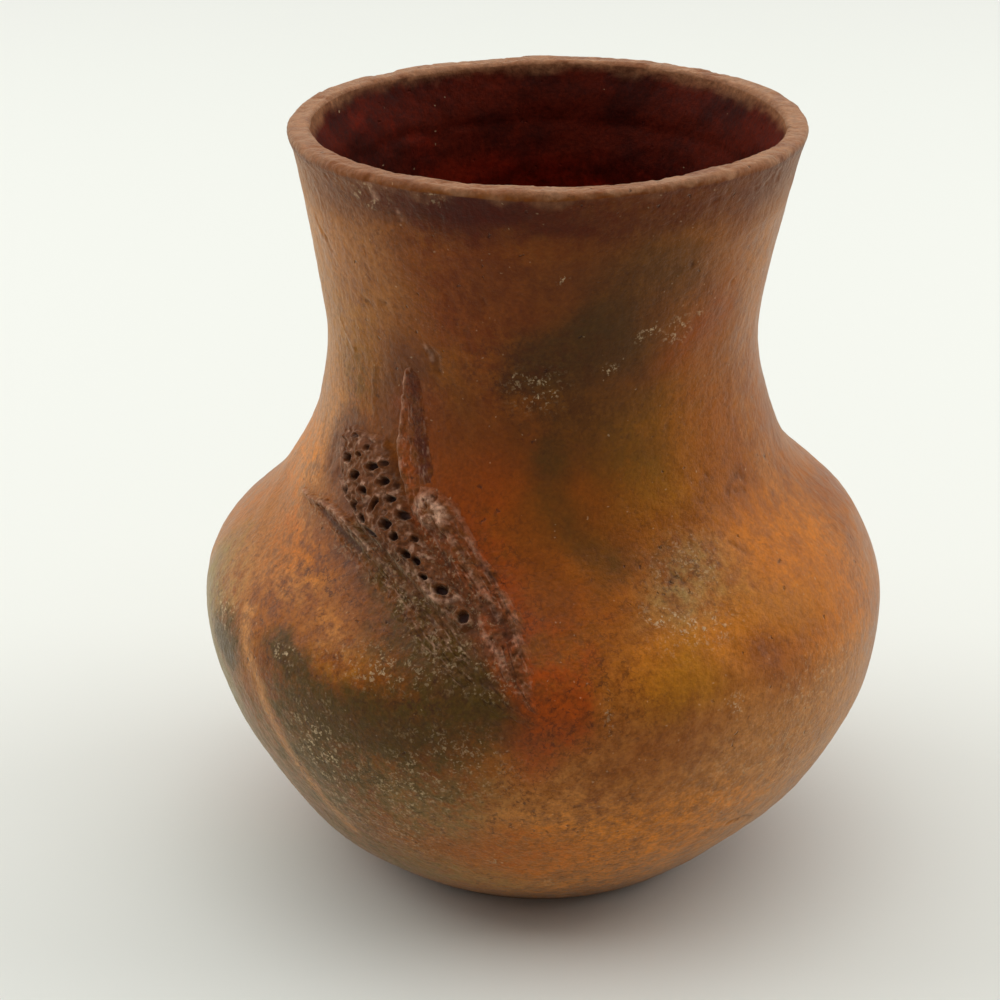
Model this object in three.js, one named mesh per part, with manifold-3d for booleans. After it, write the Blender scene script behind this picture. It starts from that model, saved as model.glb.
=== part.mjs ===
// A hand-built clay vase: a pinched foot dish, rings of coiled clay, a rounded rim, and an ear of
// corn in relief on the shoulder. Millimetres, +Z up. The origin is the middle of the foot, on the
// surface that the vase stands on. The front is -Y, and the ear of corn lies at the front left.
import * as THREE from 'three';
import { mergeVertices } from 'three/addons/utils/BufferGeometryUtils.js';
import Module from 'manifold-3d';

const wasm = await Module();
wasm.setup();
const { degToRad, smoothstep } = THREE.MathUtils;

// Outline of the outer wall
const HEIGHT = 180;
const FOOT_RADIUS = 40.7;
const BELLY_RADIUS = 80.8;
const BELLY_HEIGHT = 65.5;
const NECK_RADIUS = 49.4;
const NECK_HEIGHT = 131.6;
const MOUTH_RADIUS = 58.9;
const MOUTH_FLARE = degToRad(19.6);

// How far the outline keeps its direction before it bends, at each named place
const FOOT_SWEEP_OUT = 25.5;
const FOOT_SWEEP_UP = 18;
const BELLY_BEND_BELOW = 20;
const BELLY_BEND_ABOVE = 21.3;
const NECK_BEND_BELOW = 43;
const NECK_BEND_ABOVE = 6.1;
const MOUTH_BEND = 19.7;

// Clay thickness: the wall, square to its surface, the floor, and the flat middle of the floor.
// The lip is pressed flat on top, and its two edges are rounded.
const WALL = 6.2;
const FLOOR = 8;
const FLOOR_FLAT_RADIUS = 30;
const LIP_WIDTH = 5.8;
const LIP_EDGE = 1.5;

// The courses: the dish rises to its joint, and the body's coils end where the neck's coils begin
const DISH_JOINT = 14;
const NECK_JOINT = 97;
const RIM_COIL_HEIGHT = 15;
const BODY_COILS = 5;
const NECK_COILS = 4;
const COIL_BULGE = 0.8;

// Unevenness of the hand work: the rings are slightly oval, and the oval turns by one radian over
// the stated height. The base, the shoulder and the mouth each stand off the middle along X. The
// back of the mouth is pulled in and lower, and its near right side is raised.
const OUT_OF_ROUND = 0.005;
const OUT_OF_ROUND_TURN = 45;
const BASE_DRIFT = -2;
const BASE_DRIFT_HEIGHT = 13;
const BASE_DRIFT_SPREAD = 12;
const SHOULDER_DRIFT = 2.9;
const SHOULDER_DRIFT_HEIGHT = 88;
const SHOULDER_DRIFT_SPREAD = 9;
const MOUTH_DRIFT = 0.7;
const MOUTH_BACK_PULL = 1.8;
const MOUTH_BACK_DROP = 1;
const MOUTH_BACK_SPREAD = degToRad(60);
const RIM_RISE = 1.7;
const RIM_RISE_ANGLE = degToRad(-55);
const RIM_RISE_SPREAD = degToRad(30);

// The ear of corn. Each piece has the heights of its two ends above the belly line, and its greatest
// width. Its route is a list of places from the upper end to the lower one: degrees round the wall
// from +X, the share of the way up between its ends, and the share of its width.
const COB_TOP_HEIGHT = 51;
const COB_END_HEIGHT = 19.6;
const COB_WIDTH = 15.4;
const COB_ROUTE = [
  [-143, 1, 0.44],
  [-140, 0.89, 0.86],
  [-134, 0.665, 1],
  [-126, 0.46, 0.86],
  [-118, 0.27, 0.62],
  [-110.5, 0.1, 0.42],
  [-106, 0, 0.21],
];
const LEFT_LEAF_TOP_HEIGHT = 31.5;
const LEFT_LEAF_END_HEIGHT = 10.5;
const LEFT_LEAF_WIDTH = 8;
const LEFT_LEAF_ROUTE = [
  [-159, 0.98, 0.23],
  [-149, 1, 0.65],
  [-138, 0.905, 0.95],
  [-126, 0.69, 1],
  [-115, 0.38, 0.9],
  [-103, 0, 0.35],
];
const RIGHT_LEAF_TOP_HEIGHT = 42.5;
const RIGHT_LEAF_END_HEIGHT = 6.5;
const RIGHT_LEAF_WIDTH = 10.8;
const RIGHT_LEAF_ROUTE = [
  [-119, 1, 0.48],
  [-113.5, 0.85, 0.96],
  [-107, 0.625, 1],
  [-100.5, 0.375, 0.78],
  [-95.5, 0.155, 0.52],
  [-92, 0, 0.22],
];
const TIP_LEAF_TOP_HEIGHT = 69.4;
const TIP_LEAF_END_HEIGHT = 41;
const TIP_LEAF_WIDTH = 9.4;
const TIP_LEAF_ROUTE = [
  [-125.3, 1, 0.32],
  [-125.2, 0.88, 0.57],
  [-125, 0.635, 0.74],
  [-124.4, 0.42, 0.91],
  [-123.2, 0.245, 1],
  [-121.6, 0.105, 0.81],
  [-120.6, 0, 0.43],
];
const STALK_TOP_HEIGHT = 17.5;
const STALK_END_HEIGHT = 3;
const STALK_WIDTH = 8.4;
const STALK_ROUTE = [
  [-106.5, 1, 0.52],
  [-101, 0.655, 1],
  [-96, 0.31, 0.81],
  [-91.5, 0, 0.24],
];
const COB_CROWN = 2.6;
const LEAF_CROWN = 1.7;
const TIP_LEAF_CROWN = 1.2;
const STALK_CROWN = 1.3;
const RELIEF_EDGE = 0.5;

// The punch marks of the kernels, made with a round stick
const KERNEL_ROWS = 10;
const KERNEL_SPACING = 4.2;
const PUNCH_RADIUS = 1.15;
const PUNCH_TIP_RADIUS = 0.8;
const PUNCH_DEPTH = 1.6;
const PUNCH_BORDER = 0.6;

// The space left between one piece of relief and the next, and between the relief and the wall
const CLEARANCE = 0.3;

// How finely the surfaces are divided, and how often a search for a height on the outline halves
const SEGMENTS = 48;
const COIL_ROWS = 4;
const LIP_STEPS = 3;
const RELIEF_ACROSS = 6;
const RELIEF_ALONG = 14;
const PUNCH_SIDES = 8;
const HALVINGS = 24;

const CLAY = { roughness: 0.55, metalness: 0 };
const COLOURS = {
  foot: 0xa06a3e,
  body: 0x9c6534,
  shoulder: 0xb06a33,
  neck: 0x98643a,
  rim: 0x6d452c,
  cob: 0x5b3c2c,
  leaf: 0x7d4a2c,
  stalk: 0x544a30,
};

const outerEdge = new THREE.Vector2(MOUTH_RADIUS - LIP_EDGE, HEIGHT - LIP_EDGE);
const innerEdge = new THREE.Vector2(MOUTH_RADIUS - LIP_WIDTH + LIP_EDGE, HEIGHT - LIP_EDGE);
const flare = new THREE.Vector2(Math.sin(MOUTH_FLARE), Math.cos(MOUTH_FLARE));
const outward = new THREE.Vector2(flare.y, -flare.x);
const wallTop = outerEdge.clone().addScaledVector(outward, LIP_EDGE);
const rimJoint = HEIGHT - RIM_COIL_HEIGHT;

// The outline from the foot to the belly, on to the neck, and on to the lip, as (radius, height)
const outline = [
  new THREE.CubicBezierCurve(
    new THREE.Vector2(FOOT_RADIUS, 0),
    new THREE.Vector2(FOOT_RADIUS + FOOT_SWEEP_OUT, FOOT_SWEEP_UP),
    new THREE.Vector2(BELLY_RADIUS, BELLY_HEIGHT - BELLY_BEND_BELOW),
    new THREE.Vector2(BELLY_RADIUS, BELLY_HEIGHT),
  ),
  new THREE.CubicBezierCurve(
    new THREE.Vector2(BELLY_RADIUS, BELLY_HEIGHT),
    new THREE.Vector2(BELLY_RADIUS, BELLY_HEIGHT + BELLY_BEND_ABOVE),
    new THREE.Vector2(NECK_RADIUS, NECK_HEIGHT - NECK_BEND_BELOW),
    new THREE.Vector2(NECK_RADIUS, NECK_HEIGHT),
  ),
  new THREE.CubicBezierCurve(
    new THREE.Vector2(NECK_RADIUS, NECK_HEIGHT),
    new THREE.Vector2(NECK_RADIUS, NECK_HEIGHT + NECK_BEND_ABOVE),
    wallTop.clone().addScaledVector(flare, -MOUTH_BEND),
    wallTop,
  ),
];

// The outer wall's radius at a height, and how much it widens for each millimetre up
function wallSection(z) {
  const curve = outline.find((part) => z <= part.v3.y) ?? outline.at(-1);
  let low = 0;
  let high = 1;
  for (let step = 0; step < HALVINGS; step += 1) {
    const middle = (low + high) / 2;
    if (curve.getPoint(middle).y < z) {
      low = middle;
    } else {
      high = middle;
    }
  }
  const tangent = curve.getTangent(low);
  return { radius: curve.getPoint(low).x, slope: tangent.x / tangent.y };
}

// Where a point of the true round vase lies on the uneven one
function place(angle, radius, z) {
  const bell = (distance, spread) => Math.exp(-((distance / spread) ** 2));
  const turnFrom = (middle) => (
    Math.atan2(Math.sin(angle - middle), Math.cos(angle - middle))
  );
  const round = 1 + OUT_OF_ROUND * Math.cos(2 * angle + z / OUT_OF_ROUND_TURN);
  const base = BASE_DRIFT * bell(z - BASE_DRIFT_HEIGHT, BASE_DRIFT_SPREAD);
  const shoulder = SHOULDER_DRIFT * bell(z - SHOULDER_DRIFT_HEIGHT, SHOULDER_DRIFT_SPREAD);
  const towardMouth = smoothstep(z, NECK_HEIGHT, HEIGHT);
  const back = bell(turnFrom(Math.PI / 2), MOUTH_BACK_SPREAD);
  const reach = radius * (round - MOUTH_BACK_PULL * back * towardMouth / MOUTH_RADIUS);
  const rise = RIM_RISE * bell(turnFrom(RIM_RISE_ANGLE), RIM_RISE_SPREAD);
  return new THREE.Vector3(
    reach * Math.cos(angle) + base + shoulder + MOUTH_DRIFT * towardMouth,
    reach * Math.sin(angle),
    z + (rise - MOUTH_BACK_DROP * back) * Math.max(0, z - rimJoint) / RIM_COIL_HEIGHT,
  );
}

// A point above the outer wall, at a distance square to its surface
function onWall(angle, z, lift) {
  const { radius, slope } = wallSection(z);
  const square = new THREE.Vector3(Math.cos(angle), Math.sin(angle), -slope).normalize();
  return place(angle, radius, z).addScaledVector(square, lift);
}

// Moves every corner of a geometry and leaves one closed surface with shared corners
function reshape(geometry, move) {
  const points = geometry.getAttribute('position');
  const point = new THREE.Vector3();
  for (let i = 0; i < points.count; i += 1) {
    const moved = move(point.fromBufferAttribute(points, i));
    points.setXYZ(i, moved.x, moved.y, moved.z);
  }
  geometry.deleteAttribute('normal');
  geometry.deleteAttribute('uv');
  return mergeVertices(geometry);
}

// A ring or dish of clay: a closed section of (radius, height) points, turned about +Z
function turned(section) {
  const geometry = new THREE.LatheGeometry(section, SEGMENTS).rotateX(Math.PI / 2);
  return reshape(geometry, (point) => (
    place(Math.atan2(point.y, point.x), Math.hypot(point.x, point.y), point.z)
  ));
}

// Evenly spaced heights from one joint to another
function levels(from, to, steps) {
  return Array.from({ length: steps + 1 }, (_, i) => from + (to - from) * i / steps);
}

function outerPoint(z) {
  return new THREE.Vector2(wallSection(z).radius, z);
}

// The inner wall is thicker in the middle of each course, where the coil still bulges
function innerPoint(z, bottom, top) {
  const { radius, slope } = wallSection(z);
  const bulge = COIL_BULGE * Math.sin(Math.PI * (z - bottom) / (top - bottom));
  return new THREE.Vector2(radius - (WALL + bulge) * Math.hypot(1, slope), z);
}

function coil(bottom, top) {
  const heights = levels(bottom, top, COIL_ROWS);
  const outside = heights.map(outerPoint);
  const inside = heights.map((z) => innerPoint(z, bottom, top)).reverse();
  return turned([...outside, ...inside, outside[0]]);
}

// The dish: a flat foot, and a floor that curves up into the inner wall
function footDish() {
  const outside = levels(0, DISH_JOINT, COIL_ROWS).map(outerPoint);
  const { slope } = wallSection(DISH_JOINT);
  const brim = innerPoint(DISH_JOINT, 0, DISH_JOINT);
  const corner = new THREE.Vector2(brim.x - (DISH_JOINT - FLOOR) * slope, FLOOR);
  const flatEdge = new THREE.Vector2(Math.min(FLOOR_FLAT_RADIUS, corner.x), FLOOR);
  const inside = new THREE.QuadraticBezierCurve(brim, corner, flatEdge).getPoints(COIL_ROWS);
  return turned([new THREE.Vector2(0, 0), ...outside, ...inside, new THREE.Vector2(0, FLOOR)]);
}

// One rounded edge of the lip, from one direction of its section to another
function lipEdge(middle, from, to) {
  return levels(from, to, LIP_STEPS).map((turn) => new THREE.Vector2(
    middle.x + LIP_EDGE * Math.cos(turn),
    middle.y + LIP_EDGE * Math.sin(turn),
  ));
}

// The rim: a course like the others, closed at the top by the lip
function rimCoil() {
  const heights = levels(rimJoint, wallTop.y, COIL_ROWS);
  const outside = heights.map(outerPoint);
  const lip = [
    ...lipEdge(outerEdge, -MOUTH_FLARE, Math.PI / 2).slice(1),
    ...lipEdge(innerEdge, Math.PI / 2, Math.PI - MOUTH_FLARE),
  ];
  const inside = heights.slice(0, -1).map((z) => innerPoint(z, rimJoint, wallTop.y)).reverse();
  return turned([...outside, ...lip, ...inside, outside[0]]);
}

// A route as a curve through (angle, height, half width)
function routeCurve(route, endHeight, topHeight, width) {
  const places = route.map(([degrees, up, share]) => new THREE.Vector3(
    degToRad(degrees),
    BELLY_HEIGHT + endHeight + (topHeight - endHeight) * up,
    width * share / 2,
  ));
  return new THREE.CatmullRomCurve3(places);
}

const cobCurve = routeCurve(COB_ROUTE, COB_END_HEIGHT, COB_TOP_HEIGHT, COB_WIDTH);
const leftCurve = routeCurve(
  LEFT_LEAF_ROUTE,
  LEFT_LEAF_END_HEIGHT,
  LEFT_LEAF_TOP_HEIGHT,
  LEFT_LEAF_WIDTH,
);
const rightCurve = routeCurve(
  RIGHT_LEAF_ROUTE,
  RIGHT_LEAF_END_HEIGHT,
  RIGHT_LEAF_TOP_HEIGHT,
  RIGHT_LEAF_WIDTH,
);
const tipCurve = routeCurve(
  TIP_LEAF_ROUTE,
  TIP_LEAF_END_HEIGHT,
  TIP_LEAF_TOP_HEIGHT,
  TIP_LEAF_WIDTH,
);
const stalkCurve = routeCurve(STALK_ROUTE, STALK_END_HEIGHT, STALK_TOP_HEIGHT, STALK_WIDTH);

// The place on the wall that is some millimetres beside a route, and some further along it
function besideRoute(curve, along, across, further) {
  const middle = curve.getPoint(along);
  const direction = curve.getTangent(along);
  const { radius, slope } = wallSection(middle.y);
  const climb = Math.hypot(1, slope);
  const heading = new THREE.Vector2(direction.x * radius, direction.y * climb).normalize();
  return {
    angle: middle.x + (further * heading.x - across * heading.y) / radius,
    z: middle.y + (further * heading.y + across * heading.x) / climb,
    halfWidth: middle.z,
  };
}

// Pads of clay that lie on the wall along a route. Their cutters are the same pads, grown by the
// clearance and taller, and cut the space that the next pad leaves free.
function pad(curve, crown, grow, below, above) {
  const block = new THREE.BoxGeometry(2, 1, 1, RELIEF_ACROSS, 1, RELIEF_ALONG);
  return reshape(block, (point) => {
    const along = point.z + 0.5;
    const width = curve.getPoint(along).z + grow;
    const spot = besideRoute(curve, along, point.x * width, grow * 2 * point.z);
    const top = CLEARANCE + RELIEF_EDGE + crown * (1 - point.x ** 2) + above;
    return onWall(spot.angle, spot.z, point.y > 0 ? top : CLEARANCE - below);
  });
}

function toSolid(geometry) {
  return new wasm.Manifold(new wasm.Mesh({
    numProp: 3,
    vertProperties: new Float32Array(geometry.getAttribute('position').array),
    triVerts: new Uint32Array(geometry.getIndex().array),
  }));
}

function toGeometry(solid) {
  const mesh = solid.getMesh();
  const geometry = new THREE.BufferGeometry();
  geometry.setAttribute('position', new THREE.BufferAttribute(mesh.vertProperties, 3));
  geometry.setIndex(new THREE.BufferAttribute(mesh.triVerts, 1));
  return geometry;
}

const padSolid = (curve, crown) => toSolid(pad(curve, crown, 0, 0, 0));
const padCutter = (curve, crown) => toSolid(pad(curve, crown, CLEARANCE, WALL, WALL));

// One tapered punch mark, pushed in square to the wall
function punchMark(spot) {
  const mouth = onWall(spot.angle, spot.z, CLEARANCE + RELIEF_EDGE + spot.crown + PUNCH_DEPTH);
  const tip = onWall(spot.angle, spot.z, CLEARANCE + RELIEF_EDGE + spot.crown - PUNCH_DEPTH);
  const axis = mouth.clone().sub(tip);
  const wide = 2 * PUNCH_RADIUS - PUNCH_TIP_RADIUS;
  const stick = new THREE.CylinderGeometry(wide, PUNCH_TIP_RADIUS, axis.length(), PUNCH_SIDES);
  const turn = new THREE.Quaternion().setFromUnitVectors(
    new THREE.Vector3(0, 1, 0),
    axis.clone().normalize(),
  );
  const middle = mouth.clone().add(tip).divideScalar(2);
  return toSolid(reshape(stick, (point) => point.applyQuaternion(turn).add(middle)));
}

// The kernels stand in staggered rows across the cob, and rows get shorter where it narrows
function cobSolid() {
  let cob = padSolid(cobCurve, COB_CROWN);
  for (let row = 0; row < KERNEL_ROWS; row += 1) {
    const along = (row + 0.5) / KERNEL_ROWS;
    const halfWidth = cobCurve.getPoint(along).z;
    const room = halfWidth - PUNCH_RADIUS - PUNCH_BORDER;
    const shift = row % 2 === 0 ? 0 : KERNEL_SPACING / 2;
    const most = Math.floor(room / KERNEL_SPACING);
    for (let column = -most - 1; column <= most; column += 1) {
      const across = column * KERNEL_SPACING + shift;
      if (Math.abs(across) <= room) {
        const spot = besideRoute(cobCurve, along, across, 0);
        const crown = COB_CROWN * (1 - (across / halfWidth) ** 2);
        cob = cob.subtract(punchMark({ ...spot, crown }));
      }
    }
  }
  return cob;
}

const vase = new THREE.Group();

function add(name, geometry, color) {
  geometry.computeVertexNormals();
  const mesh = new THREE.Mesh(geometry, new THREE.MeshStandardMaterial({ color, ...CLAY }));
  mesh.name = name;
  vase.add(mesh);
}

function addCoils(name, from, to, count, colourOf) {
  const joints = levels(from, to, count);
  for (let i = 0; i < count; i += 1) {
    add(`${name}_${i + 1}`, coil(joints[i], joints[i + 1]), colourOf(i));
  }
}

add('foot_dish', footDish(), COLOURS.foot);
addCoils('body_coil', DISH_JOINT, NECK_JOINT, BODY_COILS, (i) => (
  i < BODY_COILS / 2 ? COLOURS.body : COLOURS.shoulder
));
addCoils('neck_coil', NECK_JOINT, rimJoint, NECK_COILS, () => COLOURS.neck);
add('rim_coil', rimCoil(), COLOURS.rim);

// Each piece of the ear is cut clear of the pieces that were laid before it
const cobCutter = padCutter(cobCurve, COB_CROWN);
const leftCutter = padCutter(leftCurve, LEAF_CROWN);
const rightCutter = padCutter(rightCurve, LEAF_CROWN);
const leftLeaf = padSolid(leftCurve, LEAF_CROWN).subtract(cobCutter);
const rightLeaf = padSolid(rightCurve, LEAF_CROWN).subtract(cobCutter);
const tipLeaf = padSolid(tipCurve, TIP_LEAF_CROWN).subtract(cobCutter).subtract(rightCutter);
const stalk = padSolid(stalkCurve, STALK_CROWN)
  .subtract(cobCutter)
  .subtract(leftCutter)
  .subtract(rightCutter);

add('corn_cob', toGeometry(cobSolid()), COLOURS.cob);
add('left_husk_leaf', toGeometry(leftLeaf), COLOURS.leaf);
add('right_husk_leaf', toGeometry(rightLeaf), COLOURS.leaf);
add('tip_leaf', toGeometry(tipLeaf), COLOURS.leaf);
add('stalk_end', toGeometry(stalk), COLOURS.stalk);

export default vase;
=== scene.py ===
"""A hand-built, burnished and open-fired clay vase with an ear of corn in relief.

Every CAD node is replaced by one finely modelled piece of the same clay part. The work is in
millimetres on the same outline as the CAD, and the meshes are written in metres. Angles go round
the vase from +X, so the front is at -90 degrees.
"""
import itertools
import math

import bpy
import numpy as np
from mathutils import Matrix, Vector


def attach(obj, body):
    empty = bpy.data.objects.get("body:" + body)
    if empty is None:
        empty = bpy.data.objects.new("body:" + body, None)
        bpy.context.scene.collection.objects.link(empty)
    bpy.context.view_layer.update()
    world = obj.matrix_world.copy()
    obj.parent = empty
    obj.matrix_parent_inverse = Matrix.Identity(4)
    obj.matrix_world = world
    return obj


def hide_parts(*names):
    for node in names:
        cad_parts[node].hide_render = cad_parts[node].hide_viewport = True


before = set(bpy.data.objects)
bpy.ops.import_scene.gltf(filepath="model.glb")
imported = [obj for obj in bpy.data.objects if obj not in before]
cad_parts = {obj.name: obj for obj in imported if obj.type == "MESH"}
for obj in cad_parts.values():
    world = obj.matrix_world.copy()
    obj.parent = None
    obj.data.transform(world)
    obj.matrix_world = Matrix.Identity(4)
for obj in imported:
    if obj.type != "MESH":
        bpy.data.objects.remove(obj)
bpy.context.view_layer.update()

MM = 0.001

# The outline and the hand's unevenness, as in the CAD, in millimetres
HEIGHT = 180
FOOT_RADIUS = 40.7
BELLY_RADIUS = 80.8
BELLY_HEIGHT = 65.5
NECK_RADIUS = 49.4
NECK_HEIGHT = 131.6
MOUTH_RADIUS = 58.9
MOUTH_FLARE = math.radians(19.6)
FOOT_SWEEP_OUT = 25.5
FOOT_SWEEP_UP = 18
BELLY_BEND_BELOW = 20
BELLY_BEND_ABOVE = 21.3
NECK_BEND_BELOW = 43
NECK_BEND_ABOVE = 6.1
MOUTH_BEND = 19.7
WALL = 6.2
FLOOR = 8
FLOOR_FLAT_RADIUS = 30
LIP_WIDTH = 5.8
LIP_EDGE = 1.5
DISH_JOINT = 14
NECK_JOINT = 97
RIM_COIL_HEIGHT = 15
BODY_COILS = 5
NECK_COILS = 4
COIL_BULGE = 0.8
OUT_OF_ROUND = 0.005
OUT_OF_ROUND_TURN = 45
BASE_DRIFT, BASE_DRIFT_HEIGHT, BASE_DRIFT_SPREAD = -2, 13, 12
SHOULDER_DRIFT, SHOULDER_DRIFT_HEIGHT, SHOULDER_DRIFT_SPREAD = 2.9, 88, 9
MOUTH_DRIFT = 0.7
MOUTH_BACK_PULL = 1.8
MOUTH_BACK_DROP = 1
MOUTH_BACK_SPREAD = math.radians(60)
RIM_RISE = 1.7
RIM_RISE_ANGLE = math.radians(-55)
RIM_RISE_SPREAD = math.radians(30)

OUTER_EDGE = np.array([MOUTH_RADIUS - LIP_EDGE, HEIGHT - LIP_EDGE])
INNER_EDGE = np.array([MOUTH_RADIUS - LIP_WIDTH + LIP_EDGE, HEIGHT - LIP_EDGE])
FLARE = np.array([math.sin(MOUTH_FLARE), math.cos(MOUTH_FLARE)])
OUTWARD = np.array([FLARE[1], -FLARE[0]])
WALL_TOP = OUTER_EDGE + OUTWARD * LIP_EDGE
RIM_JOINT = HEIGHT - RIM_COIL_HEIGHT

# The hand's smaller unevenness, in the looks only. The lip is pulled up or pushed down: (millimetres,
# degrees, spread). The wall swells or sinks: (millimetres, degrees, height, spread, spread in height).
LIP_PULLS = [(1.2, -112, 34), (-0.7, 119, 24), (0.3, 62, 22)]
SWELLS = [(1.0, -172, 150, 36, 22), (0.6, -172, 118, 36, 10), (1.3, -172, 92, 36, 10), (-0.3, -172, 75, 36, 9),
          (-0.5, -168, 26, 42, 12), (0.4, -8, 140, 36, 26), (1.1, -8, 112, 36, 12), (1.0, -8, 82, 36, 11),
          (0.6, -8, 52, 36, 11), (0.8, -12, 26, 42, 12)]

# The CAD's faceted belly is this wide to each side, and the looks stay within it
WIDEST = 80.66

# Spacing of the modelled surface
FINE_STEP = math.radians(0.32)
FRONT_STEP = math.radians(0.5)
BACK_STEP = math.radians(0.7)
EAR_FROM, EAR_TO = math.radians(-168), math.radians(-84)
OUTER_ROW = 0.55
INNER_ROW = 1.0
LIP_EDGE_ROWS = 8
LIP_FLAT_ROWS = 6


# Outline

def bezier(a, b, c, d, count=1500):
    t = np.linspace(0, 1, count)[:, None]
    a, b, c, d = (np.array(p, float) for p in (a, b, c, d))
    place_ = (1 - t) ** 3 * a + 3 * (1 - t) ** 2 * t * b + 3 * (1 - t) * t * t * c + t ** 3 * d
    ahead = (1 - t) ** 2 * (b - a) + 2 * (1 - t) * t * (c - b) + t * t * (d - c)
    return np.column_stack([place_, ahead[:, 0] / ahead[:, 1]])


belly_side = (BELLY_RADIUS, BELLY_HEIGHT)
neck_side = (NECK_RADIUS, NECK_HEIGHT)
OUTLINE = np.vstack([
    bezier((FOOT_RADIUS, 0), (FOOT_RADIUS + FOOT_SWEEP_OUT, FOOT_SWEEP_UP),
           (BELLY_RADIUS, BELLY_HEIGHT - BELLY_BEND_BELOW), belly_side),
    bezier(belly_side, (BELLY_RADIUS, BELLY_HEIGHT + BELLY_BEND_ABOVE),
           (NECK_RADIUS, NECK_HEIGHT - NECK_BEND_BELOW), neck_side)[1:],
    bezier(neck_side, (NECK_RADIUS, NECK_HEIGHT + NECK_BEND_ABOVE),
           WALL_TOP - FLARE * MOUTH_BEND, WALL_TOP)[1:],
])


def wall_radius(z):
    return np.interp(z, OUTLINE[:, 1], OUTLINE[:, 0])


def wall_slope(z):
    return np.interp(z, OUTLINE[:, 1], OUTLINE[:, 2])


def smoothstep(x, low, high):
    t = np.clip((x - low) / (high - low), 0, 1)
    return t * t * (3 - 2 * t)


def bell(distance, spread):
    return np.exp(-((distance / spread) ** 2))


def wrap(angle):
    return (angle + np.pi) % (2 * np.pi) - np.pi


def place(angle, radius, z):
    """Where a point of the true round vase lies on the uneven one"""
    round_ = 1 + OUT_OF_ROUND * np.cos(2 * angle + z / OUT_OF_ROUND_TURN)
    toward_mouth = smoothstep(z, NECK_HEIGHT, HEIGHT)
    back = bell(wrap(angle - np.pi / 2), MOUTH_BACK_SPREAD)
    reach = radius * (round_ - MOUTH_BACK_PULL * back * toward_mouth / MOUTH_RADIUS)
    drift = (BASE_DRIFT * bell(z - BASE_DRIFT_HEIGHT, BASE_DRIFT_SPREAD)
             + SHOULDER_DRIFT * bell(z - SHOULDER_DRIFT_HEIGHT, SHOULDER_DRIFT_SPREAD)
             + MOUTH_DRIFT * toward_mouth)
    rise = RIM_RISE * bell(wrap(angle - RIM_RISE_ANGLE), RIM_RISE_SPREAD)
    return np.stack([
        reach * np.cos(angle) + drift,
        reach * np.sin(angle),
        z + (rise - MOUTH_BACK_DROP * back) * np.maximum(0, z - RIM_JOINT) / RIM_COIL_HEIGHT,
    ], -1)


def wall_normal(angle, z):
    slope = wall_slope(z)
    size = np.hypot(1, slope)
    return np.stack([np.cos(angle) / size, np.sin(angle) / size, -slope / size], -1)


def inner_radius(z, bottom, top):
    """The inner wall is thicker in the middle of each course, and thinner near the lip"""
    bulge = COIL_BULGE * np.sin(np.pi * np.clip((z - bottom) / (top - bottom), 0, 1))
    thick = (WALL + bulge) * np.hypot(1, wall_slope(z))
    near_lip = smoothstep(z, RIM_JOINT, HEIGHT)
    return wall_radius(z) - thick * (1 - near_lip) - LIP_WIDTH * near_lip


# Random relief of the clay

def noise(points, size, seed):
    """Smooth random values from about -1 to 1, with lumps of the given size in millimetres"""
    side = 32
    lattice = np.random.default_rng(seed).uniform(-1, 1, (side, side, side)).astype(np.float32)
    spot = (points / size).astype(np.float32) + np.float32(500.3)
    cell = np.floor(spot).astype(np.int32)
    part = spot - cell
    part = part * part * (3 - 2 * part)
    total = np.zeros(points.shape[:-1], np.float32)
    for corner in itertools.product((0, 1), repeat=3):
        share = np.ones(points.shape[:-1], np.float32)
        index = []
        for axis, far in enumerate(corner):
            share *= part[..., axis] if far else 1 - part[..., axis]
            index.append((cell[..., axis] + far) % side)
        total += share * lattice[tuple(index)]
    return total


def fractal(points, size, seed, octaves=3):
    total = sum(noise(points, np.asarray(size) / 2 ** k, seed + k) / 2 ** k for k in range(octaves))
    return total / sum(1 / 2 ** k for k in range(octaves))


# The grid: columns round the vase, and rows along its section, from the middle of the foot's
# underside up the outer wall, over the lip and down the inside to the middle of the floor

def column_angles():
    angles = [-math.pi]
    while True:
        at = angles[-1]
        if EAR_FROM < at < EAR_TO:
            step = FINE_STEP
        elif at < math.radians(10):
            step = FRONT_STEP
        else:
            step = BACK_STEP
        if at + step * 1.5 > math.pi:
            return np.array(angles)
        angles.append(at + step)


def course_levels(row):
    """Heights of the rows, with one at each joint between courses, and the number of each joint's row"""
    joints = [0.0, DISH_JOINT]
    joints += [DISH_JOINT + (NECK_JOINT - DISH_JOINT) * (i + 1) / BODY_COILS for i in range(BODY_COILS)]
    joints += [NECK_JOINT + (RIM_JOINT - NECK_JOINT) * (i + 1) / NECK_COILS for i in range(NECK_COILS)]
    joints.append(float(WALL_TOP[1]))
    heights, marks = [], []
    for low, high in zip(joints, joints[1:]):
        marks.append(len(heights))
        span = (high - low) * math.hypot(1, float(wall_slope((low + high) / 2)))
        count = max(4, round(span / row))
        heights += [low + (high - low) * i / count for i in range(count)]
    marks.append(len(heights))
    heights.append(joints[-1])
    return np.array(heights), marks, joints


ANGLES = column_angles()
OUTER_Z, OUTER_MARKS, JOINTS = course_levels(OUTER_ROW)
INNER_Z, INNER_MARKS, _ = course_levels(INNER_ROW)


# Marks that were pressed, scratched or smoked at known places on the wall

def wall_offsets(angle, z, spot):
    """Millimetres along the wall from a spot, given as (degrees, height)"""
    a, h = math.radians(spot[0]), spot[1]
    across = wrap(angle - a) * wall_radius(np.asarray(h, float))
    up = (z - h) * np.hypot(1, wall_slope(np.asarray(h, float)))
    return across, up


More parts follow.
